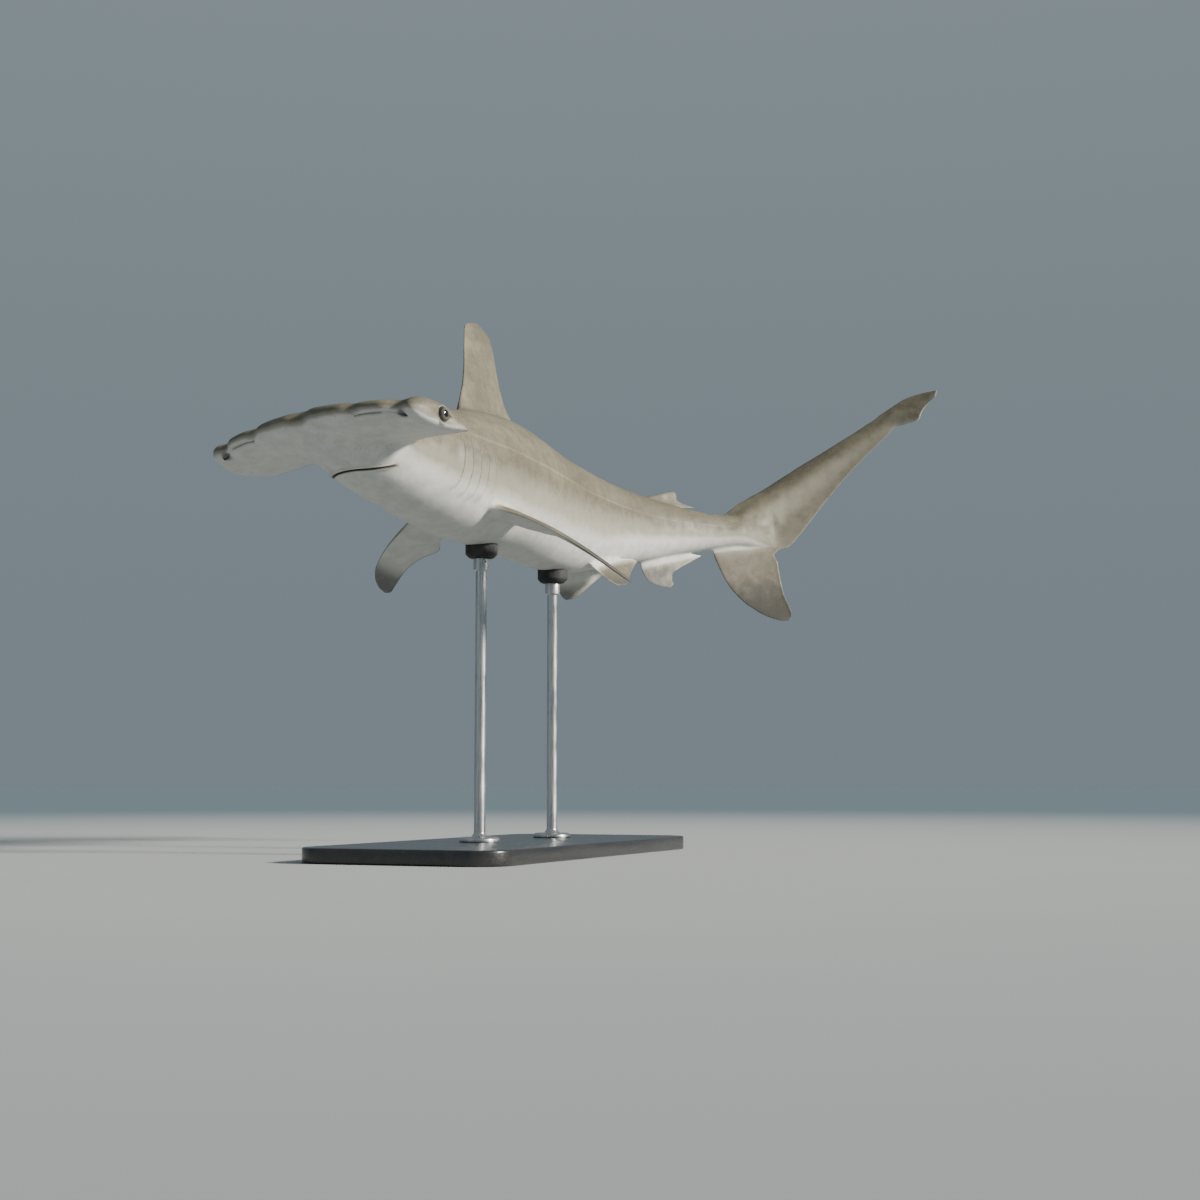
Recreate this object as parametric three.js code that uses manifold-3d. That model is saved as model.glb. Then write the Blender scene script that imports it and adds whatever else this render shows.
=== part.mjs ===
// Scalloped hammerhead shark, life size, held by a plain display stand.
// Millimetres, +Z up. The trunk heads along -Y, its left side faces +X, and the tail swings to its left.
// The origin is the middle of the underside of the stand's base.
import * as THREE from "three";
import * as BufferGeometryUtils from "three/addons/utils/BufferGeometryUtils.js";
import Module from "manifold-3d";

// Driving dimensions, in millimetres. Tables give shares of the total length, snout to upper tail tip.
const TOTAL_LENGTH = 2100;
const NODE_GAP = 0.3;

// Pose. The reference station is the share of the length where heading, bank and height are given.
const REFERENCE_STATION = 0.3;
const REFERENCE_POINT = new THREE.Vector3(-28, -62, 780);
const NOSE_UP = THREE.MathUtils.degToRad(1.4);
const BANK = THREE.MathUtils.degToRad(5.7);
const TWIST_PER_LENGTH = 0.213;
const HEAD_LIFT = 0.14;
const NECK = { from: 0.13, to: 0.23 };
const TAIL_SAG = -0.035;
// Sideways bend: [station, radians of turn per total length]. Positive bends the tail to the left.
const BEND = [
  [0, 0],
  [0.12, 0],
  [0.16, -2.17],
  [0.3, -0.19],
  [0.45, 1.79],
  [0.6, 2.76],
  [0.75, 3.73],
  [0.85, 1.81],
  [1, 1.81],
];

// Trunk sections: [station, half width, height above, depth below the centre line]. Those behind the
// last cut thicken the roots of the tail lobes.
const BODY_PROFILE = [
  [0.022, 0.026, 0.0065, 0.02],
  [0.035, 0.036, 0.011, 0.027],
  [0.06, 0.045, 0.0185, 0.0365],
  [0.09, 0.0475, 0.0275, 0.0463],
  [0.12, 0.0495, 0.037, 0.0515],
  [0.16, 0.052, 0.0485, 0.0563],
  [0.2, 0.0545, 0.0585, 0.0608],
  [0.25, 0.0565, 0.068, 0.0635],
  [0.31, 0.057, 0.0735, 0.0622],
  [0.37, 0.0545, 0.0695, 0.0642],
  [0.41, 0.0515, 0.0647, 0.0665],
  [0.45, 0.0485, 0.059, 0.067],
  [0.49, 0.0445, 0.0537, 0.0625],
  [0.54, 0.0375, 0.0467, 0.053],
  [0.6, 0.0295, 0.0385, 0.042],
  [0.66, 0.0215, 0.029, 0.029],
  [0.71, 0.0165, 0.0212, 0.0215],
  [0.74, 0.0145, 0.0195, 0.0195],
  [0.753, 0.012, 0.0205, 0.0205],
  [0.768, 0.0078, 0.021, 0.0215],
  [0.784, 0.003, 0.021, 0.0225],
  [0.79, 0.001, 0.021, 0.0225],
];
const SECTION_POWER = 2.2;
const RING_POINTS = 32;
const RING_SPACING = 0.0155;
const RING_CLEARANCE = 0.0012;

// Lengths of the body, each one node, from the back of the head to the root of the tail fin.
const BODY_CUTS = {
  head: 0.15,
  gills: 0.238,
  trunkFront: 0.4,
  trunkRear: 0.54,
  tail: 0.655,
  peduncle: 0.735,
};

// Gill slits: stations along the flank, with a low flap in front of each slit.
const GILL_STATIONS = [0.166, 0.1775, 0.189, 0.2005, 0.212];
const GILL_FLAP_RISE = 3.2;
const GILL_SLIT_DEPTH = 5;
const GILL_ANGLES = { low: -38, high: 16, fade: 12 };
// Shares of the spacing, counted forwards from a slit: foot and crest of its flap, and half its width.
const GILL_SHARES = { foot: 0.95, crest: 0.12, slit: 0.05 };
const GILL_RINGS = [0.94, 0.5, 0.13, 0.04, -0.04];

// Head wing, the hammer. Half span and outline as shares of the total length.
const WING = {
  halfSpan: 0.1275,
  height: -0.0085,
  tipDroop: -0.0065,
  cornerFront: 0.0175,
  rear: 0.0935,
  tipMiddle: 0.055,
  tipStart: 0.9,
  tipPower: 2.6,
  stations: 50,
  sectionPoints: 18,
  tipShare: 0.997,
  tipCrowding: 0.45,
  tipThinning: 0.8,
  rearEdge: 2.5,
};
// The rear margin runs back into the neck: depth, and where along the half span it starts and ends.
const WING_FILLET = { depth: 0.0115, start: 0.58, end: 0.38 };
// Half thickness of the wing: [share of the half span, share of the total length].
const WING_THICKNESS = [
  [0, 0.0135],
  [0.25, 0.0125],
  [0.55, 0.0098],
  [0.78, 0.0096],
  [0.93, 0.0108],
  [1, 0.01],
];
// Notches in the front margin: [share of the half span, depth, width]. They fade towards the rear.
const SCALLOPS = [
  [0, 0.0052, 0.055],
  [0.46, 0.0042, 0.06],
  [0.81, 0.0062, 0.05],
];

const EYE = { station: 0.05, radius: 17, proud: 6, lidRadius: 15.2, lidThickness: 3.4, lidDepth: 4.5 };
const NOSTRIL = { span: 0.83, chord: 0.07, size: [13, 4.2, 5] };
const NOSTRIL_GROOVE = { from: 0.47, chord: 0.05, radius: 2.4, steps: 8 };
const MOUTH = {
  front: 0.0665,
  corner: 0.0935,
  halfWidth: 0.037,
  bow: 2.3,
  lineRadius: 2.2,
  lipRadius: 3,
  lipOffset: 0.0021,
  lipSpread: 6,
  halfSteps: 6,
  barSteps: 16,
};

// Fins seen from the side: [height, leading edge station, trailing edge station]. Heights of the fins
// on the middle plane count from the centre line; those of the paired fins run outwards from their root.
const FIRST_DORSAL = [
  [0.045, 0.236, 0.352],
  [0.0715, 0.243, 0.354],
  [0.0795, 0.2475, 0.383],
  [0.0865, 0.251, 0.3685],
  [0.1, 0.258, 0.3555],
  [0.12, 0.2655, 0.349],
  [0.14, 0.272, 0.348],
  [0.155, 0.2785, 0.349],
  [0.166, 0.2845, 0.3495],
  [0.1745, 0.2915, 0.349],
  [0.1825, 0.304, 0.3405],
];
const SECOND_DORSAL = [
  [0.018, 0.611, 0.655],
  [0.0275, 0.6125, 0.6625],
  [0.0295, 0.613, 0.6875],
  [0.033, 0.6145, 0.677],
  [0.0375, 0.6195, 0.667],
  [0.042, 0.6315, 0.665],
  [0.0458, 0.6435, 0.6655],
  [0.0495, 0.656, 0.6655],
];
const ANAL = [
  [0.02, 0.594, 0.662],
  [0.0275, 0.5955, 0.669],
  [0.0295, 0.596, 0.6885],
  [0.0365, 0.5975, 0.6765],
  [0.045, 0.599, 0.659],
  [0.0535, 0.601, 0.646],
  [0.061, 0.6045, 0.6445],
  [0.067, 0.6105, 0.646],
  [0.0705, 0.622, 0.6455],
];
const PECTORAL = [
  [-0.028, 0.2085, 0.272],
  [0.004, 0.216, 0.2755],
  [0.012, 0.219, 0.2935],
  [0.021, 0.223, 0.295],
  [0.035, 0.2305, 0.292],
  [0.05, 0.2405, 0.2945],
  [0.065, 0.253, 0.302],
  [0.078, 0.2665, 0.3115],
  [0.088, 0.2805, 0.319],
  [0.0945, 0.2935, 0.3235],
  [0.098, 0.306, 0.3245],
];
const PELVIC = [
  [-0.02, 0.4695, 0.528],
  [0.0025, 0.4755, 0.532],
  [0.007, 0.478, 0.562],
  [0.0105, 0.48, 0.568],
  [0.0165, 0.484, 0.5595],
  [0.0245, 0.4895, 0.548],
  [0.034, 0.4965, 0.5355],
  [0.04, 0.502, 0.5275],
  [0.0428, 0.5065, 0.5215],
];
// Tail fin lobes, in stations along the bent middle plane.
const UPPER_LOBE = [
  { upper: [0.7125, 0.0155], lower: [0.7355, -0.0191] },
  { upper: [0.7275, 0.0245], lower: [0.748, -0.0214] },
  { upper: [0.745, 0.0368], lower: [0.766, -0.0245] },
  { upper: [0.7625, 0.0475], lower: [0.7855, -0.0278] },
  { upper: [0.782, 0.0585], lower: [0.8025, -0.0205] },
  { upper: [0.802, 0.0705], lower: [0.8185, -0.005] },
  { upper: [0.8225, 0.082], lower: [0.839, 0.0185] },
  { upper: [0.851, 0.0972], lower: [0.8635, 0.0465] },
  { upper: [0.8815, 0.1145], lower: [0.8905, 0.0745] },
  { upper: [0.911, 0.1305], lower: [0.9155, 0.097] },
  { upper: [0.9335, 0.1442], lower: [0.9335, 0.1125] },
  { upper: [0.9465, 0.152], lower: [0.942, 0.121] },
  { upper: [0.9555, 0.1568], lower: [0.952, 0.1212] },
  { upper: [0.9665, 0.16], lower: [0.966, 0.1245] },
  { upper: [0.979, 0.1622], lower: [0.9765, 0.142] },
  { upper: [0.993, 0.1635], lower: [0.991, 0.1562] },
];
const LOWER_LOBE = [
  [0.0165, 0.702, 0.7855],
  [0.0262, 0.7055, 0.786],
  [0.037, 0.709, 0.7865],
  [0.052, 0.7145, 0.7872],
  [0.068, 0.7225, 0.7885],
  [0.083, 0.7345, 0.791],
  [0.096, 0.749, 0.7955],
  [0.1065, 0.7645, 0.798],
  [0.1135, 0.779, 0.797],
];
// The lobes meet along a straight line on the middle plane, from the end of the body to the fork.
const LOBE_SEAM = { start: [0.735, -0.0192], end: [0.7855, -0.0278] };
// Block that trims the lower lobe: how far it runs past the seam, how high it rises, and half its width.
const SEAM_BLOCK = { overrun: 0.04, rise: 0.07, halfWidth: 40, stations: 12 };
// Fleshy axis of the upper lobe: [station, height of its middle, half height, half thickness].
const LOBE_AXIS = [
  [0.735, 0, 0.0198, 0.0146],
  [0.752, 0.012, 0.0198, 0.0126],
  [0.775, 0.0285, 0.0195, 0.0102],
  [0.805, 0.0485, 0.018, 0.0078],
  [0.845, 0.073, 0.0165, 0.0055],
  [0.885, 0.099, 0.014, 0.0036],
  [0.94, 0.1335, 0.01, 0.0018],
];
// Half thickness of each fin in millimetres, at its root and near its tip, and of its rear edge.
const FIN_THICKNESS = {
  firstDorsal: { root: 15, tip: 4, edge: 0.6 },
  secondDorsal: { root: 6, tip: 2, edge: 0.5 },
  anal: { root: 6, tip: 1.8, edge: 0.5 },
  pectoral: { root: 14, tip: 3.5, edge: 0.6 },
  pelvic: { root: 7, tip: 2, edge: 0.5 },
  upperLobe: { root: 4, tip: 1.8, edge: 0.6 },
  lowerLobe: { root: 9, tip: 2.2, edge: 0.6 },
};
// How fast the fins thin from root to tip.
const FIN_TAPER = { rate: 1.1, power: 0.8 };
const FIN_CHORD_STEPS = 10;
const CHORD_CROWDING = 1.35;
const LOBE_STEPS = 14;
const LOBE_FRONT_CHORD = 0.04;
const DORSAL_LEAN = 0.0105;
// Paired fins: where the root starts, how it falls towards the rear, and how the fin droops and curls down.
const PECTORAL_ROOT = { station: 0.215, lateral: 0.043, height: -0.0415, slope: 0.15 };
const PECTORAL_POSE = {
  left: { side: 1, droop: 12, curl: 4.1 },
  right: { side: -1, droop: 16, curl: 0.3 },
};
const PELVIC_ROOT = { station: 0.483, lateral: 0.018, height: -0.0525, slope: -0.15 };
const PELVIC_POSE = {
  left: { side: 1, droop: 62, curl: 0 },
  right: { side: -1, droop: 62, curl: 0 },
};

// Display stand.
const BASE = { width: 440, length: 1040, thickness: 30, corner: 70, bevel: 4 };
const ROD = { radius: 12, collarRadius: 17, collarLength: 26, sides: 28 };
const FLANGE = { radius: 42, thickness: 10, edge: 6, bevel: 4, neck: 5, neckRise: 8 };
// The pad's top lies inside the flesh, at a share of the depth, before the body is cut out of it.
const PAD = { radius: 34, thickness: 26, bevel: 8, topShare: 0.9 };
const ROD_STATIONS = { front: 0.285, rear: 0.448 };

const wasm = await Module();
wasm.setup();

// Colours, roughness and metalness of the finishes.
const finish = (color, roughness, metalness = 0) =>
  new THREE.MeshStandardMaterial({ color, roughness, metalness });
const SKIN_BACK = 0x6f726c;
const SKIN_FIN = 0x666a66;
const EYE_BLACK = 0x0b0c0d;
const STAND_BLACK = 0x202224;
const STAND_STEEL = 0x9a9da0;
const STAND_RUBBER = 0x17181a;

// Smooth value of a table's column at x: a cubic that keeps each stretch between its two ends.
function tableValue(rows, x, column) {
  const last = rows.length - 1;
  if (x <= rows[0][0]) return rows[0][column];
  if (x >= rows[last][0]) return rows[last][column];
  const i = rows.findIndex((row) => row[0] > x) - 1;
  const slopeOf = (k) => (rows[k + 1][column] - rows[k][column]) / (rows[k + 1][0] - rows[k][0]);
  const tangentAt = (k) => {
    if (k === 0) return slopeOf(0);
    if (k === last) return slopeOf(last - 1);
    const before = slopeOf(k - 1);
    const after = slopeOf(k);
    return before * after > 0 ? (2 * before * after) / (before + after) : 0;
  };
  const width = rows[i + 1][0] - rows[i][0];
  const t = (x - rows[i][0]) / width;
  const start = (1 + 2 * t) * (1 - t) ** 2 * rows[i][column];
  const end = t * t * (3 - 2 * t) * rows[i + 1][column];
  const startTurn = t * (1 - t) ** 2 * width * tangentAt(i);
  const endTurn = t * t * (t - 1) * width * tangentAt(i + 1);
  return start + end + startTurn + endTurn;
}

// Value of a table's column at x, straight between its rows.
function linearValue(rows, x, column) {
  const last = rows.length - 1;
  if (x <= rows[0][0]) return rows[0][column];
  if (x >= rows[last][0]) return rows[last][column];
  const i = rows.findIndex((row) => row[0] > x) - 1;
  const t = (x - rows[i][0]) / (rows[i + 1][0] - rows[i][0]);
  return rows[i][column] + t * (rows[i + 1][column] - rows[i][column]);
}

// Centre line of the shark, bent as it swims: a frame (point, back, left, up) at every station.
function makeBackbone() {
  const steps = 400;
  const trunkBack = new THREE.Vector3(0, 1, 0);
  const trunkLeft = new THREE.Vector3(1, 0, 0).applyAxisAngle(trunkBack, -BANK);
  const trunkUp = new THREE.Vector3(0, 0, 1).applyAxisAngle(trunkBack, -BANK);
  const across = new THREE.Vector3(1, 0, 0);
  for (const axis of [trunkBack, trunkLeft, trunkUp]) axis.applyAxisAngle(across, -NOSE_UP);

  const turns = [0];
  for (let i = 1; i <= steps; i++) {
    turns.push(turns[i - 1] + linearValue(BEND, (i - 0.5) / steps, 1) / steps);
  }
  const turnAt = (station) => {
    const place = THREE.MathUtils.clamp(station, 0, 1) * steps;
    const i = Math.min(Math.floor(place), steps - 1);
    return THREE.MathUtils.lerp(turns[i], turns[i + 1], place - i);
  };
  const referenceTurn = turnAt(REFERENCE_STATION);

  const axesAt = (station) => {
    const turn = turnAt(station) - referenceTurn;
    const neck = THREE.MathUtils.clamp(station, NECK.from, NECK.to) - NECK.to;
    const lift = TAIL_SAG * (station - REFERENCE_STATION) + (HEAD_LIFT * neck) / (NECK.to - NECK.from);
    const back = trunkBack
      .clone()
      .multiplyScalar(Math.cos(turn))
      .addScaledVector(trunkLeft, Math.sin(turn))
      .multiplyScalar(Math.cos(lift))
      .addScaledVector(trunkUp, Math.sin(lift));
    const left = trunkLeft
      .clone()
      .multiplyScalar(Math.cos(turn))
      .addScaledVector(trunkBack, -Math.sin(turn));
    const up = new THREE.Vector3().crossVectors(back, left).negate();
    const twist = TWIST_PER_LENGTH * (Math.max(station, NECK.from) - REFERENCE_STATION);
    left.applyAxisAngle(back, -twist);
    up.applyAxisAngle(back, -twist);
    return { back, left, up };
  };

  const points = [new THREE.Vector3()];
  for (let i = 1; i <= steps; i++) {
    const { back } = axesAt((i - 0.5) / steps);
    points.push(points[i - 1].clone().addScaledVector(back, TOTAL_LENGTH / steps));
  }
  const centreAt = (station) => {
    const place = THREE.MathUtils.clamp(station, 0, 1) * steps;
    const i = Math.min(Math.floor(place), steps - 1);
    return points[i].clone().lerp(points[i + 1], place - i);
  };
  const shift = REFERENCE_POINT.clone().sub(centreAt(REFERENCE_STATION));
  const frameAt = (station) => ({ centre: centreAt(station).add(shift), ...axesAt(station) });
  // Point at a station, with lateral (left positive) and height in shares of the total length.
  const pointAt = (station, lateral, height) => {
    const { centre, left, up } = frameAt(station);
    return centre
      .addScaledVector(left, lateral * TOTAL_LENGTH)
      .addScaledVector(up, height * TOTAL_LENGTH);
  };
  return { frameAt, pointAt };
}
const backbone = makeBackbone();

// Mesh helpers.
function geometryFrom(points, triangles) {
  const geometry = new THREE.BufferGeometry();
  geometry.setAttribute(
    "position",
    new THREE.Float32BufferAttribute(points.flatMap((p) => [p.x, p.y, p.z]), 3),
  );
  geometry.setIndex(triangles);
  return geometry;
}

// Closed skin over a row of rings with equally many points, with a fan at either end.
function loftGeometry(rings) {
  const count = rings[0].length;
  const points = rings.flat();
  const triangles = [];
  for (let i = 0; i + 1 < rings.length; i++) {
    for (let j = 0; j < count; j++) {
      const a = i * count + j;
      const b = i * count + ((j + 1) % count);
      triangles.push(a, b, b + count, a, b + count, a + count);
    }
  }
  const middle = (ring) =>
    ring.reduce((sum, p) => sum.add(p), new THREE.Vector3()).divideScalar(count);
  const first = points.push(middle(rings[0])) - 1;
  const final = points.push(middle(rings[rings.length - 1])) - 1;
  const start = (rings.length - 1) * count;
  for (let j = 0; j < count; j++) {
    const next = (j + 1) % count;
    triangles.push(first, next, j);
    triangles.push(final, start + j, start + next);
  }
  return geometryFrom(points, triangles);
}

// Closed thin solid: place(i, j) gives the middle point, and half(i, j) the half thickness there.
// Both faces are split along the same diagonals.
function sheetGeometry(rows, columns, place, half) {
  const middle = [];
  for (let i = 0; i < rows; i++) {
    for (let j = 0; j < columns; j++) middle.push(place(i, j));
  }
  const at = (i, j) => {
    const row = THREE.MathUtils.clamp(i, 0, rows - 1);
    const column = THREE.MathUtils.clamp(j, 0, columns - 1);
    return middle[row * columns + column];
  };
  const upper = [];
  const lower = [];
  for (let i = 0; i < rows; i++) {
    for (let j = 0; j < columns; j++) {
      const along = at(i, j + 1).clone().sub(at(i, j - 1));
      const out = at(i + 1, j).clone().sub(at(i - 1, j));
      const normal = along.cross(out).normalize();
      upper.push(at(i, j).clone().addScaledVector(normal, half(i, j)));
      lower.push(at(i, j).clone().addScaledVector(normal, -half(i, j)));
    }
  }
  const offset = rows * columns;
  const triangles = [];
  for (let i = 0; i + 1 < rows; i++) {
    for (let j = 0; j + 1 < columns; j++) {
      const a = i * columns + j;
      const b = a + 1;
      const c = b + columns;
      const d = a + columns;
      triangles.push(a, b, c, a, c, d);
      triangles.push(offset + a, offset + c, offset + b, offset + a, offset + d, offset + c);
    }
  }
  const border = [];
  for (let j = 0; j + 1 < columns; j++) border.push(j);
  for (let i = 0; i + 1 < rows; i++) border.push(i * columns + columns - 1);
  for (let j = columns - 1; j > 0; j--) border.push((rows - 1) * columns + j);
  for (let i = rows - 1; i > 0; i--) border.push(i * columns);
  border.forEach((from, k) => {
    const to = border[(k + 1) % border.length];
    triangles.push(from, offset + from, offset + to, from, offset + to, to);
  });
  return geometryFrom([...upper, ...lower], triangles);
}

// Solids: closed surfaces that can be joined and cut.
function solidFrom(geometry) {
  const bare = geometry.clone();
  bare.deleteAttribute("normal");
  bare.deleteAttribute("uv");
  const merged = BufferGeometryUtils.mergeVertices(bare, 1e-4);
  const made = new wasm.Manifold(
    new wasm.Mesh({
      numProp: 3,
      vertProperties: merged.attributes.position.array,
      triVerts: new Uint32Array(merged.index.array),
    }),
  );
  if (made.volume() > 0) return made;
  const turned = Uint32Array.from(merged.index.array);
  for (let i = 0; i < turned.length; i += 3) {
    [turned[i + 1], turned[i + 2]] = [turned[i + 2], turned[i + 1]];
  }
  return new wasm.Manifold(
    new wasm.Mesh({
      numProp: 3,
      vertProperties: merged.attributes.position.array,
      triVerts: turned,
    }),
  );
}

function largestBody(solid) {
  return solid.decompose().reduce((best, body) => (body.volume() > best.volume() ? body : best));
}

function meshFrom(name, solid, material) {
  const { vertProperties, triVerts, numProp } = largestBody(solid).getMesh();
  const count = vertProperties.length / numProp;
  const positions = new Float32Array(count * 3);
  for (let i = 0; i < count; i++) {
    positions.set(vertProperties.subarray(i * numProp, i * numProp + 3), i * 3);
  }
  const geometry = new THREE.BufferGeometry();
  geometry.setAttribute("position", new THREE.BufferAttribute(positions, 3));
  geometry.setIndex(Array.from(triVerts));
  geometry.computeVertexNormals();
  const mesh = new THREE.Mesh(geometry, material);
  mesh.name = name;
  return mesh;
}

// Round bar along a list of points.
function barSolid(points, radius, steps, sides = 6) {
  const section = new THREE.Shape(
    Array.from({ length: sides }, (_, k) => {
      const angle = (2 * Math.PI * k) / sides;
      return new THREE.Vector2(radius * Math.cos(angle), radius * Math.sin(angle));
    }),
  );
  const route = new THREE.CatmullRomCurve3(points);
  return solidFrom(new THREE.ExtrudeGeometry(section, { steps, extrudePath: route }));
}

// Trunk surface. The angle counts from the left side over the back.
const evenPower = (value) => Math.sign(value) * Math.abs(value) ** (2 / SECTION_POWER);

function gillRelief(station, angle) {
  const degrees = THREE.MathUtils.radToDeg(Math.atan2(Math.sin(angle), Math.abs(Math.cos(angle))));
  const rise = THREE.MathUtils.smoothstep(degrees, GILL_ANGLES.low - GILL_ANGLES.fade, GILL_ANGLES.low);
  const fall = THREE.MathUtils.smoothstep(degrees, GILL_ANGLES.high, GILL_ANGLES.high + GILL_ANGLES.fade);
  const span = rise * (1 - fall);
  const spacing = GILL_STATIONS[1] - GILL_STATIONS[0];
  const { foot, crest } = GILL_SHARES;
  const relief = GILL_STATIONS.reduce((sum, slit) => {
    const before = (slit - station) / spacing;
    if (before > crest && before < foot) return sum + (GILL_FLAP_RISE * (foot - before)) / (foot - crest);
    return Math.abs(before) < GILL_SHARES.slit ? sum - GILL_SLIT_DEPTH : sum;
  }, 0);
  return relief * span;
}

function bodyRing(station, inflate = 0) {
  const { centre, left, up } = backbone.frameAt(station);
  const width = tableValue(BODY_PROFILE, station, 1) * TOTAL_LENGTH;
  const above = tableValue(BODY_PROFILE, station, 2) * TOTAL_LENGTH;
  const below = tableValue(BODY_PROFILE, station, 3) * TOTAL_LENGTH;
  return Array.from({ length: RING_POINTS }, (_, k) => {
    const angle = (2 * Math.PI * k) / RING_POINTS;
    const relief = inflate + gillRelief(station, angle);
    const lateral = (width + relief) * evenPower(Math.cos(angle));
    const height = ((Math.sin(angle) > 0 ? above : below) + relief) * evenPower(Math.sin(angle));
    return centre.clone().addScaledVector(left, lateral).addScaledVector(up, height);
  });
}

// Stations of the rings: even, with extra ones at each gill flap and slit.
function ringStations(from, to) {
  const spacing = GILL_STATIONS[1] - GILL_STATIONS[0];
  const inner = [];
  const count = Math.round((BODY_CUTS.peduncle - BODY_PROFILE[0][0]) / RING_SPACING);
  for (let i = 0; i <= count; i++) {
    inner.push(THREE.MathUtils.lerp(BODY_PROFILE[0][0], BODY_CUTS.peduncle, i / count));
  }
  const clear = inner.filter((s) => s < GILL_STATIONS[0] - spacing || s > GILL_STATIONS[4] + spacing * 0.5);
  const gills = GILL_STATIONS.flatMap((slit) =>
    GILL_RINGS.map((share) => slit - share * spacing),
  );
  const kept = [...clear, ...gills].filter((s) => s > from + RING_CLEARANCE && s < to - RING_CLEARANCE);
  return [from, ...kept.sort((a, b) => a - b), to];
}

function bodySolid(from, to, inflate = 0) {
  return solidFrom(loftGeometry(ringStations(from, to).map((station) => bodyRing(station, inflate))));
}

// A length of the body between two cuts, half a gap short at each.
function bodyLength(from, to) {
  const half = NODE_GAP / 2 / TOTAL_LENGTH;
  return bodySolid(from + half, to - half);
}

// Lowest height of the trunk at a station and lateral place, in shares of the total length.
function bellyHeight(station, lateral) {
  const width = tableValue(BODY_PROFILE, station, 1);
  const below = tableValue(BODY_PROFILE, station, 3);
  const share = Math.min(Math.abs(lateral / width), 0.98);
  return -below * (1 - share ** SECTION_POWER) ** (1 / SECTION_POWER);
}

// Share of the greatest thickness across a chord: round in front and thin behind, 1 at a third of it.
const foilShare = (chord) => 2.6 * Math.sqrt(chord) * (1 - chord);

// Head wing.
function wingOutline(share) {
  const span = Math.abs(share);
  const notch = SCALLOPS.reduce(
    (sum, [place, depth, width]) => sum + depth * Math.exp(-(((span - place) / width) ** 2)),
    0,
  );
  const sweep = WING.cornerFront * span ** 2.4;
  const tip = Math.max(0, (span - WING.tipStart) / (1 - WING.tipStart));
  const keep = (1 - tip ** WING.tipPower) ** (1 / WING.tipPower);
  const front = THREE.MathUtils.lerp(WING.tipMiddle, sweep, keep);
  const { depth, start, end } = WING_FILLET;
  const inwards = THREE.MathUtils.clamp((start - span) / (start - end), 0, 1);
  const rear = THREE.MathUtils.lerp(WING.tipMiddle, WING.rear, keep) + depth * inwards ** 2;
  const height = WING.height + WING.tipDroop * span ** 1.5;
  return { front, rear, keep, height, notch: notch * keep };
}

// Point on the wing at a share of the half span and of the chord, on the upper or lower side.
function wingPoint(share, chord, side, edge = WING.rearEdge) {
  const { front, rear, keep, height, notch } = wingOutline(share);
  const most = tableValue(WING_THICKNESS, Math.abs(share), 1) * keep ** WING.tipThinning;
  const half = most * foilShare(chord) + (edge / TOTAL_LENGTH) * Math.min(1, chord * 3);
  const station = THREE.MathUtils.lerp(front, rear, chord) + notch * (1 - chord) ** 4;
  return backbone.pointAt(station, share * WING.halfSpan, height + side * half);
}

function wingSolid() {
  const rings = [];
  for (let i = 0; i <= WING.stations; i++) {
    const even = (2 * i) / WING.stations - 1;
    const share = WING.tipShare * THREE.MathUtils.lerp(even, Math.sin((even * Math.PI) / 2), WING.tipCrowding);
    const ring = [];
    for (let k = 0; k < WING.sectionPoints; k++) {
      const angle = (2 * Math.PI * (k + 0.5)) / WING.sectionPoints;
      ring.push(wingPoint(share, (1 - Math.cos(angle)) / 2, Math.sign(Math.sin(angle))));
    }
    rings.push(ring);
  }
  return solidFrom(loftGeometry(rings));
}

function eyePlace(side) {
  const { left, back, up } = backbone.frameAt(EYE.station);
  const { height } = wingOutline(0.98);
  const inset = (EYE.radius - EYE.proud) / TOTAL_LENGTH;
  const centre = backbone.pointAt(EYE.station, side * (WING.halfSpan - inset), height);
  const out = left.clone().multiplyScalar(side);
  return { centre, out, back, up };
}

function eyeSolid(side, radius) {
  const { centre } = eyePlace(side);
  const ball = new THREE.SphereGeometry(radius, 18, 12);
  return solidFrom(ball.translate(centre.x, centre.y, centre.z));
}

// Lid: a ring of skin round the eye, standing on the wing tip.
function lidSolid(side) {
  const { centre, out } = eyePlace(side);
  const ring = new THREE.TorusGeometry(EYE.lidRadius, EYE.lidThickness, 7, 20);
  const turn = new THREE.Quaternion().setFromUnitVectors(new THREE.Vector3(0, 0, 1), out);
  const place = centre.clone().addScaledVector(out, EYE.radius - EYE.proud - EYE.lidDepth);
  return solidFrom(ring.applyQuaternion(turn).translate(place.x, place.y, place.z));
}

function nostrilSolid(side) {
  const centre = wingPoint(side * NOSTRIL.span, NOSTRIL.chord, -1, 0);
  const { back } = backbone.frameAt(WING.cornerFront);
  const [long, deep, wide] = NOSTRIL.size;
  const ball = new THREE.SphereGeometry(1, 12, 7).scale(long, wide, deep);
  const along = wingPoint(side * (NOSTRIL.span - 0.06), NOSTRIL.chord, -1, 0).sub(centre).normalize();
  const depth = new THREE.Vector3().crossVectors(along, back).normalize();
  const basis = new THREE.Matrix4().makeBasis(along, new THREE.Vector3().crossVectors(depth, along), depth);
  return solidFrom(ball.applyMatrix4(basis).translate(centre.x, centre.y, centre.z));
}

// Groove that leads water along the front edge to the nostril.
function nostrilGroove(side) {
  const { from, chord, radius, steps } = NOSTRIL_GROOVE;
  const points = Array.from({ length: steps + 1 }, (_, k) => {
    const share = THREE.MathUtils.lerp(from, NOSTRIL.span, k / steps);
    return wingPoint(side * share, chord, -1, 0);
  });
  return barSolid(points, radius, steps + 1, 5);
}

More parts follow.
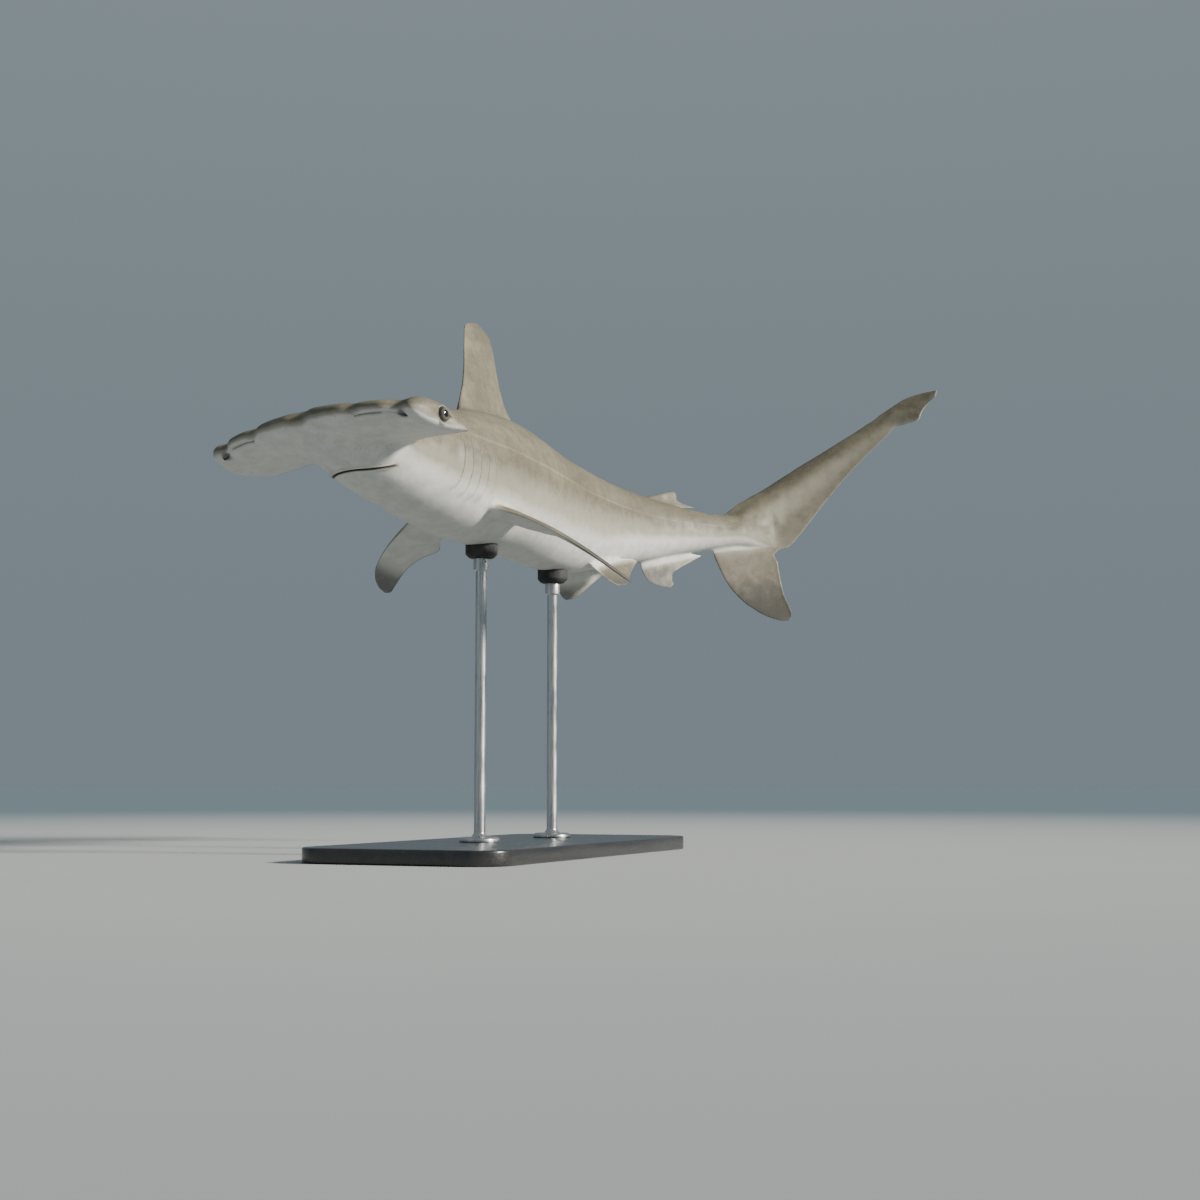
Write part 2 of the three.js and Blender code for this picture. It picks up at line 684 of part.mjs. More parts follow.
// The mouth is a bow on the underside. The offset moves it forwards or backwards.
function mouthRoute(offset) {
  return Array.from({ length: 2 * MOUTH.halfSteps + 1 }, (_, k) => {
    const across = k / MOUTH.halfSteps - 1;
    const lateral = across * MOUTH.halfWidth * (1 + offset * MOUTH.lipSpread);
    const station = MOUTH.front - offset + (MOUTH.corner - MOUTH.front) * Math.abs(across) ** MOUTH.bow;
    return backbone.pointAt(station, lateral, bellyHeight(station, lateral));
  });
}

function headSolid() {
  const gap = NODE_GAP / 2 / TOTAL_LENGTH;
  let head = bodySolid(BODY_PROFILE[0][0], BODY_CUTS.head - gap).add(wingSolid());
  for (const offset of [MOUTH.lipOffset, -MOUTH.lipOffset]) {
    head = head.add(barSolid(mouthRoute(offset), MOUTH.lipRadius, MOUTH.barSteps, 5));
  }
  head = head.subtract(barSolid(mouthRoute(0), MOUTH.lineRadius, MOUTH.barSteps, 5));
  for (const side of [1, -1]) {
    head = head.add(lidSolid(side));
    head = head.subtract(nostrilGroove(side)).subtract(nostrilSolid(side));
    head = head.subtract(eyeSolid(side, EYE.radius + NODE_GAP));
  }
  return head;
}

// Fins.
// Half thickness: it thins towards the tip, and never goes below that of the rear edge.
function finHalf(chord, span, { root, tip, edge }) {
  const most = THREE.MathUtils.lerp(root, tip, Math.min(1, span * FIN_TAPER.rate) ** FIN_TAPER.power);
  return Math.max(edge, most * Math.min(1, foilShare(chord)));
}

// Half thickness of the flesh that runs on from the trunk into the tail, in millimetres.
function rootFlesh(station, height) {
  const width = tableValue(BODY_PROFILE, station, 1);
  const reach = tableValue(BODY_PROFILE, station, height > 0 ? 2 : 3);
  const share = Math.min(1, Math.abs(height) / reach);
  return width * TOTAL_LENGTH * (1 - share ** SECTION_POWER) ** (1 / SECTION_POWER);
}

// Chord shares, closer together at the front edge.
const chordShare = (j) => (j / FIN_CHORD_STEPS) ** CHORD_CROWDING;

// Fin from a table of [height, leading station, trailing station]; place maps station and height, and
// flesh gives a least half thickness there.
function finSolid(table, thickness, place, flesh = () => 0) {
  const last = table.length - 1;
  const lowest = table[0][0];
  const reach = table[last][0] - lowest;
  const stationAt = (i, j) => THREE.MathUtils.lerp(table[i][1], table[i][2], chordShare(j));
  const corner = (i, j) => place(stationAt(i, j), table[i][0]);
  const half = (i, j) => {
    const foil = finHalf(chordShare(j), (table[i][0] - lowest) / reach, thickness);
    return Math.max(foil, flesh(stationAt(i, j), table[i][0]));
  };
  return solidFrom(sheetGeometry(table.length, FIN_CHORD_STEPS + 1, corner, half));
}

const wholeBody = bodySolid(BODY_PROFILE[0][0], BODY_CUTS.peduncle, NODE_GAP + 0.1);

function middleFin(table, thickness, direction, lean = 0) {
  const reach = table[table.length - 1][0];
  const place = (station, height) =>
    backbone.pointAt(station, -lean * (height / reach) ** 4, direction * height);
  return finSolid(table, thickness, place).subtract(wholeBody);
}

// Paired fin: it leaves the flank outwards and down, and its root runs down towards the rear.
function pairedFin(table, thickness, root, { side, droop, curl }) {
  const angle = THREE.MathUtils.degToRad(droop);
  const place = (station, out) => {
    const lateral = root.lateral + out * Math.cos(angle);
    const fall = out * Math.sin(angle) + curl * Math.max(0, out) ** 2;
    const height = root.height - fall - (station - root.station) * root.slope;
    return backbone.pointAt(station, side * lateral, height);
  };
  return finSolid(table, thickness, place).subtract(wholeBody);
}

// The upper lobe is a thin web that thickens to the fleshy axis near its upper edge.
function upperLobeSolid() {
  const place = (i, j) => {
    const { upper, lower } = UPPER_LOBE[i];
    const share = j / LOBE_STEPS;
    return [0, 1].map((k) => THREE.MathUtils.lerp(upper[k], lower[k], share));
  };
  const half = (i, j) => {
    const [station, height] = place(i, j);
    const [middle, reach, thick] = [1, 2, 3].map((column) => tableValue(LOBE_AXIS, station, column));
    const away = Math.min(1, Math.abs(height - middle) / reach);
    const flesh = thick * TOTAL_LENGTH * (1 - away ** SECTION_POWER) ** (1 / SECTION_POWER);
    const chord = THREE.MathUtils.lerp(LOBE_FRONT_CHORD, 1, j / LOBE_STEPS);
    const web = finHalf(chord, i / UPPER_LOBE.length, FIN_THICKNESS.upperLobe);
    return Math.max(web, flesh, rootFlesh(station, height));
  };
  const point = (i, j) => {
    const [station, height] = place(i, j);
    return backbone.pointAt(station, 0, height);
  };
  return solidFrom(sheetGeometry(UPPER_LOBE.length, LOBE_STEPS + 1, point, half)).subtract(wholeBody);
}

// Everything above the seam, to trim the lower lobe, one gap below the upper one.
function seamCutter() {
  const { start, end } = LOBE_SEAM;
  const { overrun, rise, halfWidth, stations } = SEAM_BLOCK;
  const place = (i, j) => {
    const station = THREE.MathUtils.lerp(start[0] - overrun, end[0] + overrun, i / (stations - 1));
    const share = (station - start[0]) / (end[0] - start[0]);
    const seam = THREE.MathUtils.lerp(start[1], end[1], share) - NODE_GAP / TOTAL_LENGTH;
    return backbone.pointAt(station, 0, j ? seam : seam + rise);
  };
  return solidFrom(sheetGeometry(stations, 2, place, () => halfWidth));
}

function lowerLobeSolid() {
  const place = (station, depth) => backbone.pointAt(station, 0, -depth);
  const flesh = (station, depth) => rootFlesh(station, -depth);
  const lobe = finSolid(LOWER_LOBE, FIN_THICKNESS.lowerLobe, place, flesh);
  return lobe.subtract(wholeBody).subtract(seamCutter());
}

// Display stand.
function baseMesh() {
  const { width, length, thickness, corner, bevel } = BASE;
  const [x, y] = [width / 2 - bevel, length / 2 - bevel];
  const outline = new THREE.Shape();
  outline.moveTo(-x + corner, -y);
  outline.lineTo(x - corner, -y);
  outline.absarc(x - corner, -y + corner, corner, -Math.PI / 2, 0);
  outline.lineTo(x, y - corner);
  outline.absarc(x - corner, y - corner, corner, 0, Math.PI / 2);
  outline.lineTo(-x + corner, y);
  outline.absarc(-x + corner, y - corner, corner, Math.PI / 2, Math.PI);
  outline.lineTo(-x, -y + corner);
  outline.absarc(-x + corner, -y + corner, corner, Math.PI, 1.5 * Math.PI);
  const plate = new THREE.ExtrudeGeometry(outline, {
    depth: thickness - 2 * bevel,
    bevelThickness: bevel,
    bevelSize: bevel,
    bevelSegments: 2,
    curveSegments: 8,
  });
  return meshFrom("stand_base", solidFrom(plate.translate(0, 0, bevel)), finish(STAND_BLACK, 0.4));
}

// Rod with a round flange on the base and a collar below its pad.
function rodParts(name, station) {
  const { centre } = backbone.frameAt(station);
  const depth = tableValue(BODY_PROFILE, station, 3) * TOTAL_LENGTH;
  const padTop = centre.z - depth * PAD.topShare;
  const padBottom = centre.z - depth - PAD.thickness;
  const foot = BASE.thickness + NODE_GAP;
  const rodTop = padBottom - NODE_GAP;
  const profile = [
    [0, foot],
    [FLANGE.radius, foot],
    [FLANGE.radius, foot + FLANGE.edge],
    [FLANGE.radius - FLANGE.bevel, foot + FLANGE.thickness],
    [ROD.radius + FLANGE.neck, foot + FLANGE.thickness + 1],
    [ROD.radius, foot + FLANGE.thickness + FLANGE.neckRise],
    [ROD.radius, rodTop - ROD.collarLength],
    [ROD.collarRadius, rodTop - ROD.collarLength],
    [ROD.collarRadius, rodTop],
    [0, rodTop],
  ].map(([radius, height]) => new THREE.Vector2(radius, height));
  const rod = new THREE.LatheGeometry(profile, ROD.sides).rotateX(Math.PI / 2);
  const padShape = [
    [0, padBottom],
    [PAD.radius - PAD.bevel, padBottom],
    [PAD.radius, padBottom + PAD.bevel],
    [PAD.radius, padTop],
    [0, padTop],
  ].map(([radius, height]) => new THREE.Vector2(radius, height));
  const pad = new THREE.LatheGeometry(padShape, ROD.sides).rotateX(Math.PI / 2);
  const place = (geometry) => solidFrom(geometry.translate(centre.x, centre.y, 0));
  return [
    meshFrom("stand_rod_" + name, place(rod), finish(STAND_STEEL, 0.3, 1)),
    meshFrom("stand_pad_" + name, place(pad).subtract(wholeBody), finish(STAND_RUBBER, 0.8)),
  ];
}

// Scene graph.
function bodyGroup() {
  const group = new THREE.Group();
  const skin = () => finish(SKIN_BACK, 0.55);
  const cuts = BODY_CUTS;
  group.add(
    meshFrom("head", headSolid(), skin()),
    meshFrom("gill_region", bodyLength(cuts.head, cuts.gills), skin()),
    meshFrom("trunk_front", bodyLength(cuts.gills, cuts.trunkFront), skin()),
    meshFrom("trunk_rear", bodyLength(cuts.trunkFront, cuts.trunkRear), skin()),
    meshFrom("tail_stem", bodyLength(cuts.trunkRear, cuts.tail), skin()),
    meshFrom("caudal_peduncle", bodyLength(cuts.tail, cuts.peduncle), skin()),
  );
  return group;
}

function eyeGroup() {
  const group = new THREE.Group();
  for (const [name, side] of [["eye_left", 1], ["eye_right", -1]]) {
    group.add(meshFrom(name, eyeSolid(side, EYE.radius), finish(EYE_BLACK, 0.1)));
  }
  return group;
}

function finGroup() {
  const group = new THREE.Group();
  const add = (name, solid) => group.add(meshFrom(name, solid, finish(SKIN_FIN, 0.55)));
  const thick = FIN_THICKNESS;
  add("first_dorsal_fin", middleFin(FIRST_DORSAL, thick.firstDorsal, 1, DORSAL_LEAN));
  add("second_dorsal_fin", middleFin(SECOND_DORSAL, thick.secondDorsal, 1));
  add("anal_fin", middleFin(ANAL, thick.anal, -1));
  for (const side of ["left", "right"]) {
    add("pectoral_fin_" + side, pairedFin(PECTORAL, thick.pectoral, PECTORAL_ROOT, PECTORAL_POSE[side]));
    add("pelvic_fin_" + side, pairedFin(PELVIC, thick.pelvic, PELVIC_ROOT, PELVIC_POSE[side]));
  }
  add("caudal_fin_upper_lobe", upperLobeSolid());
  add("caudal_fin_lower_lobe", lowerLobeSolid());
  return group;
}

function standGroup() {
  const group = new THREE.Group();
  group.add(baseMesh());
  for (const [name, station] of Object.entries(ROD_STATIONS)) group.add(...rodParts(name, station));
  return group;
}

const shark = new THREE.Group();
shark.add(bodyGroup(), eyeGroup(), finGroup(), standGroup());

export default shark;
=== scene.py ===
import math

import bmesh
import bpy
import numpy as np
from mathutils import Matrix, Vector, noise
from mathutils.kdtree import KDTree


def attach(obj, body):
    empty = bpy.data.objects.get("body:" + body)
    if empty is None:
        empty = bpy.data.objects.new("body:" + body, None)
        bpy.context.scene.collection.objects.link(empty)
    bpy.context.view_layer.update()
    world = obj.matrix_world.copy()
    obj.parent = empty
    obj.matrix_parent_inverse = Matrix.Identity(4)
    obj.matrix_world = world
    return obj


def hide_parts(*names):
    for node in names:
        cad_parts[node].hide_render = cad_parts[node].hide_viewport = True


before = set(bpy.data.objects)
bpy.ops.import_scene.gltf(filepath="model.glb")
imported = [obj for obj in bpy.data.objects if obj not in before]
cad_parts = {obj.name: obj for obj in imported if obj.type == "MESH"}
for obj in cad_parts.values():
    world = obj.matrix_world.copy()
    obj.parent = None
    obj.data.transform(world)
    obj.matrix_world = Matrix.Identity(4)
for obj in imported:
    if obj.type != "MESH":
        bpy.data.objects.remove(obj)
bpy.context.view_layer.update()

# Life-size scalloped hammerhead shark on a display stand. Metres, +Z up, trunk heading along -Y.
# Tables give shares of the total length, and repeat the sizes of the part's own source.
TOTAL_LENGTH = 2.1
REFERENCE_STATION = 0.3
REFERENCE_POINT = np.array([-0.028, -0.062, 0.78])
NOSE_UP = math.radians(1.4)
BANK = math.radians(5.7)
TWIST_PER_LENGTH = 0.213
HEAD_LIFT = 0.14
NECK = (0.13, 0.23)
TAIL_SAG = -0.035
BEND = np.array([
    [0, 0], [0.12, 0], [0.16, -2.17], [0.3, -0.19], [0.45, 1.79],
    [0.6, 2.76], [0.75, 3.73], [0.85, 1.81], [1, 1.81],
])
# Trunk sections: station, half width, height above and depth below the centre line.
BODY_PROFILE = [
    [0.022, 0.026, 0.0065, 0.02], [0.035, 0.036, 0.011, 0.027], [0.06, 0.045, 0.0185, 0.0365],
    [0.09, 0.0475, 0.0275, 0.0463], [0.12, 0.0495, 0.037, 0.0515], [0.16, 0.052, 0.0485, 0.0563],
    [0.2, 0.0545, 0.0585, 0.0608], [0.25, 0.0565, 0.068, 0.0635], [0.31, 0.057, 0.0735, 0.0622],
    [0.37, 0.0545, 0.0695, 0.0642], [0.41, 0.0515, 0.0647, 0.0665], [0.45, 0.0485, 0.059, 0.067],
    [0.49, 0.0445, 0.0537, 0.0625], [0.54, 0.0375, 0.0467, 0.053], [0.6, 0.0295, 0.0385, 0.042],
    [0.66, 0.0215, 0.029, 0.029], [0.71, 0.0165, 0.0212, 0.0215], [0.74, 0.0145, 0.0195, 0.0195],
    [0.753, 0.012, 0.0205, 0.0205], [0.768, 0.0078, 0.021, 0.0215], [0.784, 0.003, 0.021, 0.0225],
    [0.79, 0.001, 0.021, 0.0225],
]
SECTION_POWER = 2.2
BODY_END = 0.7885
RING_POINTS, RING_STEP = 148, 0.0033
# Gills: station of each slit, its top and foot in degrees, and its bow and tilt.
GILL_STATIONS = [0.166, 0.1775, 0.189, 0.2005, 0.212]
GILL_TOPS = [13, 17, 19, 16, 9]
GILL_FOOTS = [-38, -43, -41, -39, -29]
GILL_BOWS = [0.0026, 0.003, 0.0034, 0.003, 0.0022]
GILL_TILTS = [0.001, 0.0004, -0.0003, 0.0003, -0.0015]
# Stations with close rings, and the flap's rise, its length and the groove's depth in metres.
GILL_SPAN, GILL_RING_STEP = (0.1545, 0.2165), 0.00058
GILL_FLAP_RISE, GILL_FLAP_LENGTH, GILL_GROOVE_DEPTH = 0.004, 0.021, 0.0056

WING_HALF_SPAN = 0.1275
WING_HEIGHT = -0.0085
WING_TIP_DROOP = -0.0065
WING_FRONT_SWEEP = 0.0175
WING_REAR = 0.0935
WING_TIP_MIDDLE = 0.055
WING_TIP_START = 0.9
WING_TIP_POWER = 2.6
WING_REAR_EDGE = 0.0025
WING_FILLET, FILLET_START, FILLET_END = 0.0115, 0.58, 0.38
WING_THICKNESS = [
    [0, 0.0135], [0.25, 0.0125], [0.55, 0.0098], [0.78, 0.0096], [0.93, 0.0108], [1, 0.01],
]
SCALLOPS = [[0, 0.0052, 0.055], [0.46, 0.0042, 0.06], [0.81, 0.0062, 0.05]]

# Eyes, nostrils and mouth: stations, spans, chords, offset and mouth width are shares, other lengths metres.
EYE_STATION, EYE_RADIUS, EYE_PROUD = 0.05, 0.017, 0.006
EYE_SPAN, EYE_BULGE = 0.98, 0.05
LID_RADIUS, LID_THICKNESS, LID_SWELL, LID_RECESS = 0.0155, 0.0034, 0.0005, 0.0045
LID_SOFT_RISE, LID_SOFT_REACH = 0.006, 0.026
NOSTRIL_SPAN, NOSTRIL_CHORD = 0.83, 0.07
NOSTRIL_LENGTH, NOSTRIL_WIDTH, NOSTRIL_DEPTH = 0.013, 0.0042, 0.005
NOSTRIL_GROOVE_FROM, NOSTRIL_GROOVE_CHORD, NOSTRIL_GROOVE_RADIUS = 0.47, 0.05, 0.0024
MOUTH_FRONT, MOUTH_CORNER, MOUTH_HALF_WIDTH = 0.0665, 0.0935, 0.037
MOUTH_ARCH, MOUTH_POINTS = 2.3, 110
LIP_OFFSET, LIP_RADIUS, LIP_REACH, MOUTH_LINE_RADIUS = 0.0021, 0.0036, 0.018, 0.002

# Fins: height (or reach outwards), leading edge station, trailing edge station.
FIRST_DORSAL = [
    [0.045, 0.236, 0.352], [0.0715, 0.243, 0.354], [0.0795, 0.2475, 0.383], [0.0865, 0.251, 0.3685],
    [0.1, 0.258, 0.3555], [0.12, 0.2655, 0.349], [0.14, 0.272, 0.348], [0.155, 0.2785, 0.349],
    [0.166, 0.2845, 0.3495], [0.1745, 0.2915, 0.349], [0.1825, 0.304, 0.3405],
]
SECOND_DORSAL = [
    [0.018, 0.611, 0.655], [0.0275, 0.6125, 0.6625], [0.0295, 0.613, 0.6875],
    [0.033, 0.6145, 0.677], [0.0375, 0.6195, 0.667], [0.042, 0.6315, 0.665],
    [0.0458, 0.6435, 0.6655], [0.0495, 0.656, 0.6655],
]
ANAL = [
    [0.02, 0.594, 0.662], [0.0275, 0.5955, 0.669], [0.0295, 0.596, 0.6885], [0.0365, 0.5975, 0.6765],
    [0.045, 0.599, 0.659], [0.0535, 0.601, 0.646], [0.061, 0.6045, 0.6445], [0.067, 0.6105, 0.646],
    [0.0705, 0.622, 0.6455],
]
PECTORAL = [
    [-0.028, 0.2085, 0.272], [0.004, 0.216, 0.2755], [0.012, 0.219, 0.2935], [0.021, 0.223, 0.295],
    [0.035, 0.2305, 0.292], [0.05, 0.2405, 0.2945], [0.065, 0.253, 0.302], [0.078, 0.2665, 0.3115],
    [0.088, 0.2805, 0.319], [0.0945, 0.2935, 0.3235], [0.098, 0.306, 0.3245],
]
PELVIC = [
    [-0.02, 0.4695, 0.528], [0.0025, 0.4755, 0.532], [0.007, 0.478, 0.562], [0.0105, 0.48, 0.568],
    [0.0165, 0.484, 0.5595], [0.0245, 0.4895, 0.548], [0.034, 0.4965, 0.5355],
    [0.04, 0.502, 0.5275], [0.0428, 0.5065, 0.5215],
]
# Upper tail lobe: station and height of its upper edge, then of its lower edge.
UPPER_LOBE = [
    [0.7125, 0.0155, 0.7355, -0.0191], [0.7275, 0.0245, 0.748, -0.0214],
    [0.745, 0.0368, 0.766, -0.0245], [0.7625, 0.0475, 0.7855, -0.0278],
    [0.782, 0.0585, 0.8025, -0.0205], [0.802, 0.0705, 0.8185, -0.005],
    [0.8225, 0.082, 0.839, 0.0185], [0.851, 0.0972, 0.8635, 0.0465],
    [0.8815, 0.1145, 0.8905, 0.0745], [0.911, 0.1305, 0.9155, 0.097],
    [0.9335, 0.1442, 0.9335, 0.1125], [0.9465, 0.152, 0.942, 0.121],
    [0.9555, 0.1568, 0.952, 0.1212], [0.9665, 0.16, 0.966, 0.1245], [0.979, 0.1622, 0.9765, 0.142],
    [0.993, 0.1635, 0.991, 0.1562],
]
LOWER_LOBE = [
    [0.0165, 0.702, 0.7855], [0.0262, 0.7055, 0.786], [0.037, 0.709, 0.7865], [0.052, 0.7145, 0.7872],
    [0.068, 0.7225, 0.7885], [0.083, 0.7345, 0.791], [0.096, 0.749, 0.7955], [0.1065, 0.7645, 0.798],
    [0.1135, 0.779, 0.797],
]
LOBE_AXIS = [
    [0.735, 0, 0.0198, 0.0146], [0.752, 0.012, 0.0198, 0.0126], [0.775, 0.0285, 0.0195, 0.0102],
    [0.805, 0.0485, 0.018, 0.0078], [0.845, 0.073, 0.0165, 0.0055], [0.885, 0.099, 0.014, 0.0036],
    [0.94, 0.1335, 0.01, 0.0018],
]
DORSAL_LEAN = 0.0105
# Paired fins: root station, lateral place, height, fall towards the rear.
PECTORAL_ROOT = (0.215, 0.043, -0.0415, 0.15)
PELVIC_ROOT = (0.483, 0.018, -0.0525, -0.15)
# Their pose on each side, 1 for the left: droop in degrees, and curl.
PECTORAL_POSE = {1: (12, 4.1), -1: (16, 0.3)}
PELVIC_POSE = {1: (62, 0), -1: (62, 0)}
# Least half thickness of a fin's rounded tip, in metres.
FIN_TIP_HALF = 0.0004
# Each middle fin: name, table, half thickness at root, tip and edge in metres, side of the body,
# points up and along it, lean, and the height over which its tip is rounded (its cap).
MIDDLE_FINS = [
    ("first_dorsal", FIRST_DORSAL, (0.015, 0.004, 0.0006), 1, (76, 40), DORSAL_LEAN, 0.014),
    ("second_dorsal", SECOND_DORSAL, (0.006, 0.002, 0.0005), 1, (40, 30), 0, 0.0035),
    ("anal", ANAL, (0.006, 0.0018, 0.0005), -1, (50, 34), 0, 0.006),
]
# Each paired fin: name, table, half thickness, root, pose, points and cap.
PAIRED_FINS = [
    ("pectoral", PECTORAL, (0.014, 0.0035, 0.0006), PECTORAL_ROOT, PECTORAL_POSE, (70, 40), 0.006),
    ("pelvic", PELVIC, (0.007, 0.002, 0.0005), PELVIC_ROOT, PELVIC_POSE, (46, 30), 0.004),
]
UPPER_LOBE_GRID, UPPER_LOBE_HALF = (130, 26), (0.004, 0.0018, 0.0006)
LOWER_LOBE_GRID, LOWER_LOBE_HALF, LOWER_LOBE_CAP = (70, 30), (0.009, 0.0022, 0.0006), 0.012
# How far from a join the skin is rounded: station, and reach in metres.
JOIN_REACH = np.array([
    [0.12, 0.042], [0.2, 0.02], [0.4, 0.02], [0.47, 0.012], [0.58, 0.009], [0.7, 0.014], [0.74, 0.024],
])
# Crescent dent in front of the upper tail lobe, with its depth in metres.
PIT_STATION, PIT_LENGTH, PIT_SWEEP, PIT_WIDTH, PIT_DEPTH = 0.7085, 0.0032, 2.2, 0.0165, 0.0042
# Furrow along the flank and unevenness of the flesh, both with their depth in metres.
FURROW_DEPTH, FURROW_HEIGHT, FURROW_WIDTH = 0.0011, 0.002, 0.0045
UNEVENNESS, UNEVEN_SCALE = 0.0009, np.array([1.0, 0.6, 1.0]) * 11
# Height of the lateral line by station.
LATERAL_LINE = np.array([[0.16, 0.022], [0.25, 0.019], [0.4, 0.014], [0.6, 0.006], [0.72, 0.002]])
# Dusky fins, and painted shade: strength, side, heights where the dark starts and is full, first and last
# station.
# Rows: second dorsal, anal, pelvic, first dorsal; the anal and pelvic rows are darker than the fins, as
# painted shade.
DUSKY_AND_SHADED_FINS = [
    [0.7, 1, 0.035, 0.048, 0.6, 0.7], [0.9, -1, 0.031, 0.056, 0.58, 0.7],
    [0.85, -1, 0.062, 0.085, 0.46, 0.58], [0.25, 1, 0.155, 0.185, 0, 0.4],
]

BASE_SIZE = (0.44, 1.04, 0.03)
BASE_CORNER, BASE_BEVEL, BASE_TOP_BORDER = 0.07, 0.004, 0.03
ROD_RADIUS, FLANGE_RADIUS, FLANGE_THICKNESS = 0.012, 0.042, 0.01
FLANGE_CHAMFER, FILLET_WIDTH, FILLET_RISE = 0.004, 0.005, 0.008
COLLAR_RADIUS, COLLAR_LENGTH = 0.017, 0.026
PAD_RADIUS, PAD_THICKNESS, PAD_BEVEL, PAD_TOP_SHARE = 0.034, 0.026, 0.008, 0.9
ROD_ROUNDING, PAD_ROUNDING = 0.0016, 0.003
AXIS_RADIUS, TURNED_SEGMENTS = 0.0005, 64
ROD_STATIONS = {"front": 0.285, "rear": 0.448}
NODE_GAP = 0.0003

# Camera of the photograph, in a square frame.
CAMERA_PLACE = (1.612, -3.3766, 0.1498)
CAMERA_TURN, CAMERA_TILT = math.radians(22.64), math.radians(96.0)
CAMERA_LENS, SENSOR = 52.5, 36.0
FLOOR_HALF = 60
# Each light: kind, name, place, aim, power, colour, and the sun's angle or the disk's width.
LIGHTS = [
    ("SUN", "key", (4.0, 0.4, 1.7), (0, 0, 0), 8.6, (1, 0.955, 0.86), math.radians(11)),
    ("AREA", "fill", (-2.2, -4.0, 1.6), (0, 0, 0.75), 5, (0.85, 0.93, 1), 3.0),
]


def smooth_value(rows, x, column):
    """A table's column at x: a cubic that keeps each stretch between its two ends."""
    rows = np.asarray(rows, float)
    keys, values = rows[:, 0], rows[:, column]
    slopes = np.diff(values) / np.diff(keys)
    before, after = slopes[:-1], slopes[1:]
    same = before * after > 0
    total = np.where(same, before + after, 1)
    tangents = np.concatenate([[slopes[0]], np.where(same, 2 * before * after / total, 0), [slopes[-1]]])
    x = np.clip(np.asarray(x, float), keys[0], keys[-1])
    i = np.clip(np.searchsorted(keys, x, side="right") - 1, 0, len(keys) - 2)
    width = keys[i + 1] - keys[i]
    t = (x - keys[i]) / width
    start = (1 + 2 * t) * (1 - t) ** 2 * values[i]
    end = t * t * (3 - 2 * t) * values[i + 1]
    turns = t * (1 - t) ** 2 * tangents[i] + t * t * (t - 1) * tangents[i + 1]
    return start + end + width * turns


def smoothstep(low, high, x):
    t = np.clip((np.asarray(x, float) - low) / (high - low), 0, 1)
    return t * t * (3 - 2 * t)


def full_turn(count):
    """Angles of points spread evenly round a circle."""
    return np.linspace(0, 2 * np.pi, count, endpoint=False)


# Backbone: frames along the bent centre line.
def rotated(vector, axis, angle):
    cross = np.cross(axis, vector)
    kept = axis * np.dot(axis, vector) * (1 - math.cos(angle))
    return vector * math.cos(angle) + cross * math.sin(angle) + kept


ACROSS, AHEAD, UPWARDS = np.eye(3)
TRUNK_BACK = rotated(AHEAD, ACROSS, -NOSE_UP)
TRUNK_LEFT = rotated(rotated(ACROSS, AHEAD, -BANK), ACROSS, -NOSE_UP)
TRUNK_UP = rotated(rotated(UPWARDS, AHEAD, -BANK), ACROSS, -NOSE_UP)
STEPS = 2000
GRID = np.linspace(0, 1, STEPS + 1)
MIDDLES = (GRID[1:] + GRID[:-1]) / 2
TURNS = np.concatenate([[0], np.cumsum(np.interp(MIDDLES, BEND[:, 0], BEND[:, 1])) / STEPS])
REFERENCE_TURN = np.interp(REFERENCE_STATION, GRID, TURNS)


def axes_at(station):
    station = np.asarray(station, float)
    turn = np.interp(station, GRID, TURNS) - REFERENCE_TURN
    neck = np.clip(station, *NECK) - NECK[1]
    lift = TAIL_SAG * (station - REFERENCE_STATION) + HEAD_LIFT * neck / (NECK[1] - NECK[0])
    twist = TWIST_PER_LENGTH * (np.maximum(station, NECK[0]) - REFERENCE_STATION)
    turn, lift, twist = turn[..., None], lift[..., None], twist[..., None]
    back = (np.cos(turn) * TRUNK_BACK + np.sin(turn) * TRUNK_LEFT) * np.cos(lift) + TRUNK_UP * np.sin(lift)
    left = np.cos(turn) * TRUNK_LEFT - np.sin(turn) * TRUNK_BACK
    up = -np.cross(back, left)
    turned_left = left * np.cos(twist) - np.cross(back, left) * np.sin(twist)
    turned_up = up * np.cos(twist) - np.cross(back, up) * np.sin(twist)
    return back, turned_left, turned_up


CENTRES = np.concatenate([[[0, 0, 0]], np.cumsum(axes_at(MIDDLES)[0], axis=0) * TOTAL_LENGTH / STEPS])
CENTRES += REFERENCE_POINT - [np.interp(REFERENCE_STATION, GRID, CENTRES[:, k]) for k in range(3)]


def centre_at(station):
    return np.stack([np.interp(station, GRID, CENTRES[:, k]) for k in range(3)], axis=-1)


def point_at(station, lateral, height):
    station, lateral, height = np.broadcast_arrays(station, lateral, height)
    _, left, up = axes_at(station)
    out = lateral[..., None] * left + height[..., None] * up
    return centre_at(station) + out * TOTAL_LENGTH


# Mesh helpers.
def make_object(name, points, faces):
    mesh = bpy.data.meshes.new(name)
    mesh.from_pydata([tuple(p) for p in points], [], faces)
    mesh.update()
    made = bpy.data.objects.new(name, mesh)
    bpy.context.collection.objects.link(made)
    return made


def face_outwards(points, faces):
    """Turns every face round if the closed mesh is inside out."""
    first = np.array([points[f[0]] for f in faces])
    volume = 0
    for k in range(1, 3):
        a = np.array([points[f[k]] for f in faces])
        b = np.array([points[f[(k + 1) % len(f)]] for f in faces])
        volume += np.sum(np.cross(a, b) * first)
    return faces if volume > 0 else [f[::-1] for f in faces]


def ring_faces(rows, count, closed):
    """Faces between neighbouring rings of points, and back from the last to the first if closed."""
    faces = []
    for i in range(rows if closed else rows - 1):
        here, after = i * count, (i + 1) % rows * count
        for j in range(count):
            k = (j + 1) % count
            faces.append((here + j, here + k, after + k, after + j))
    return faces


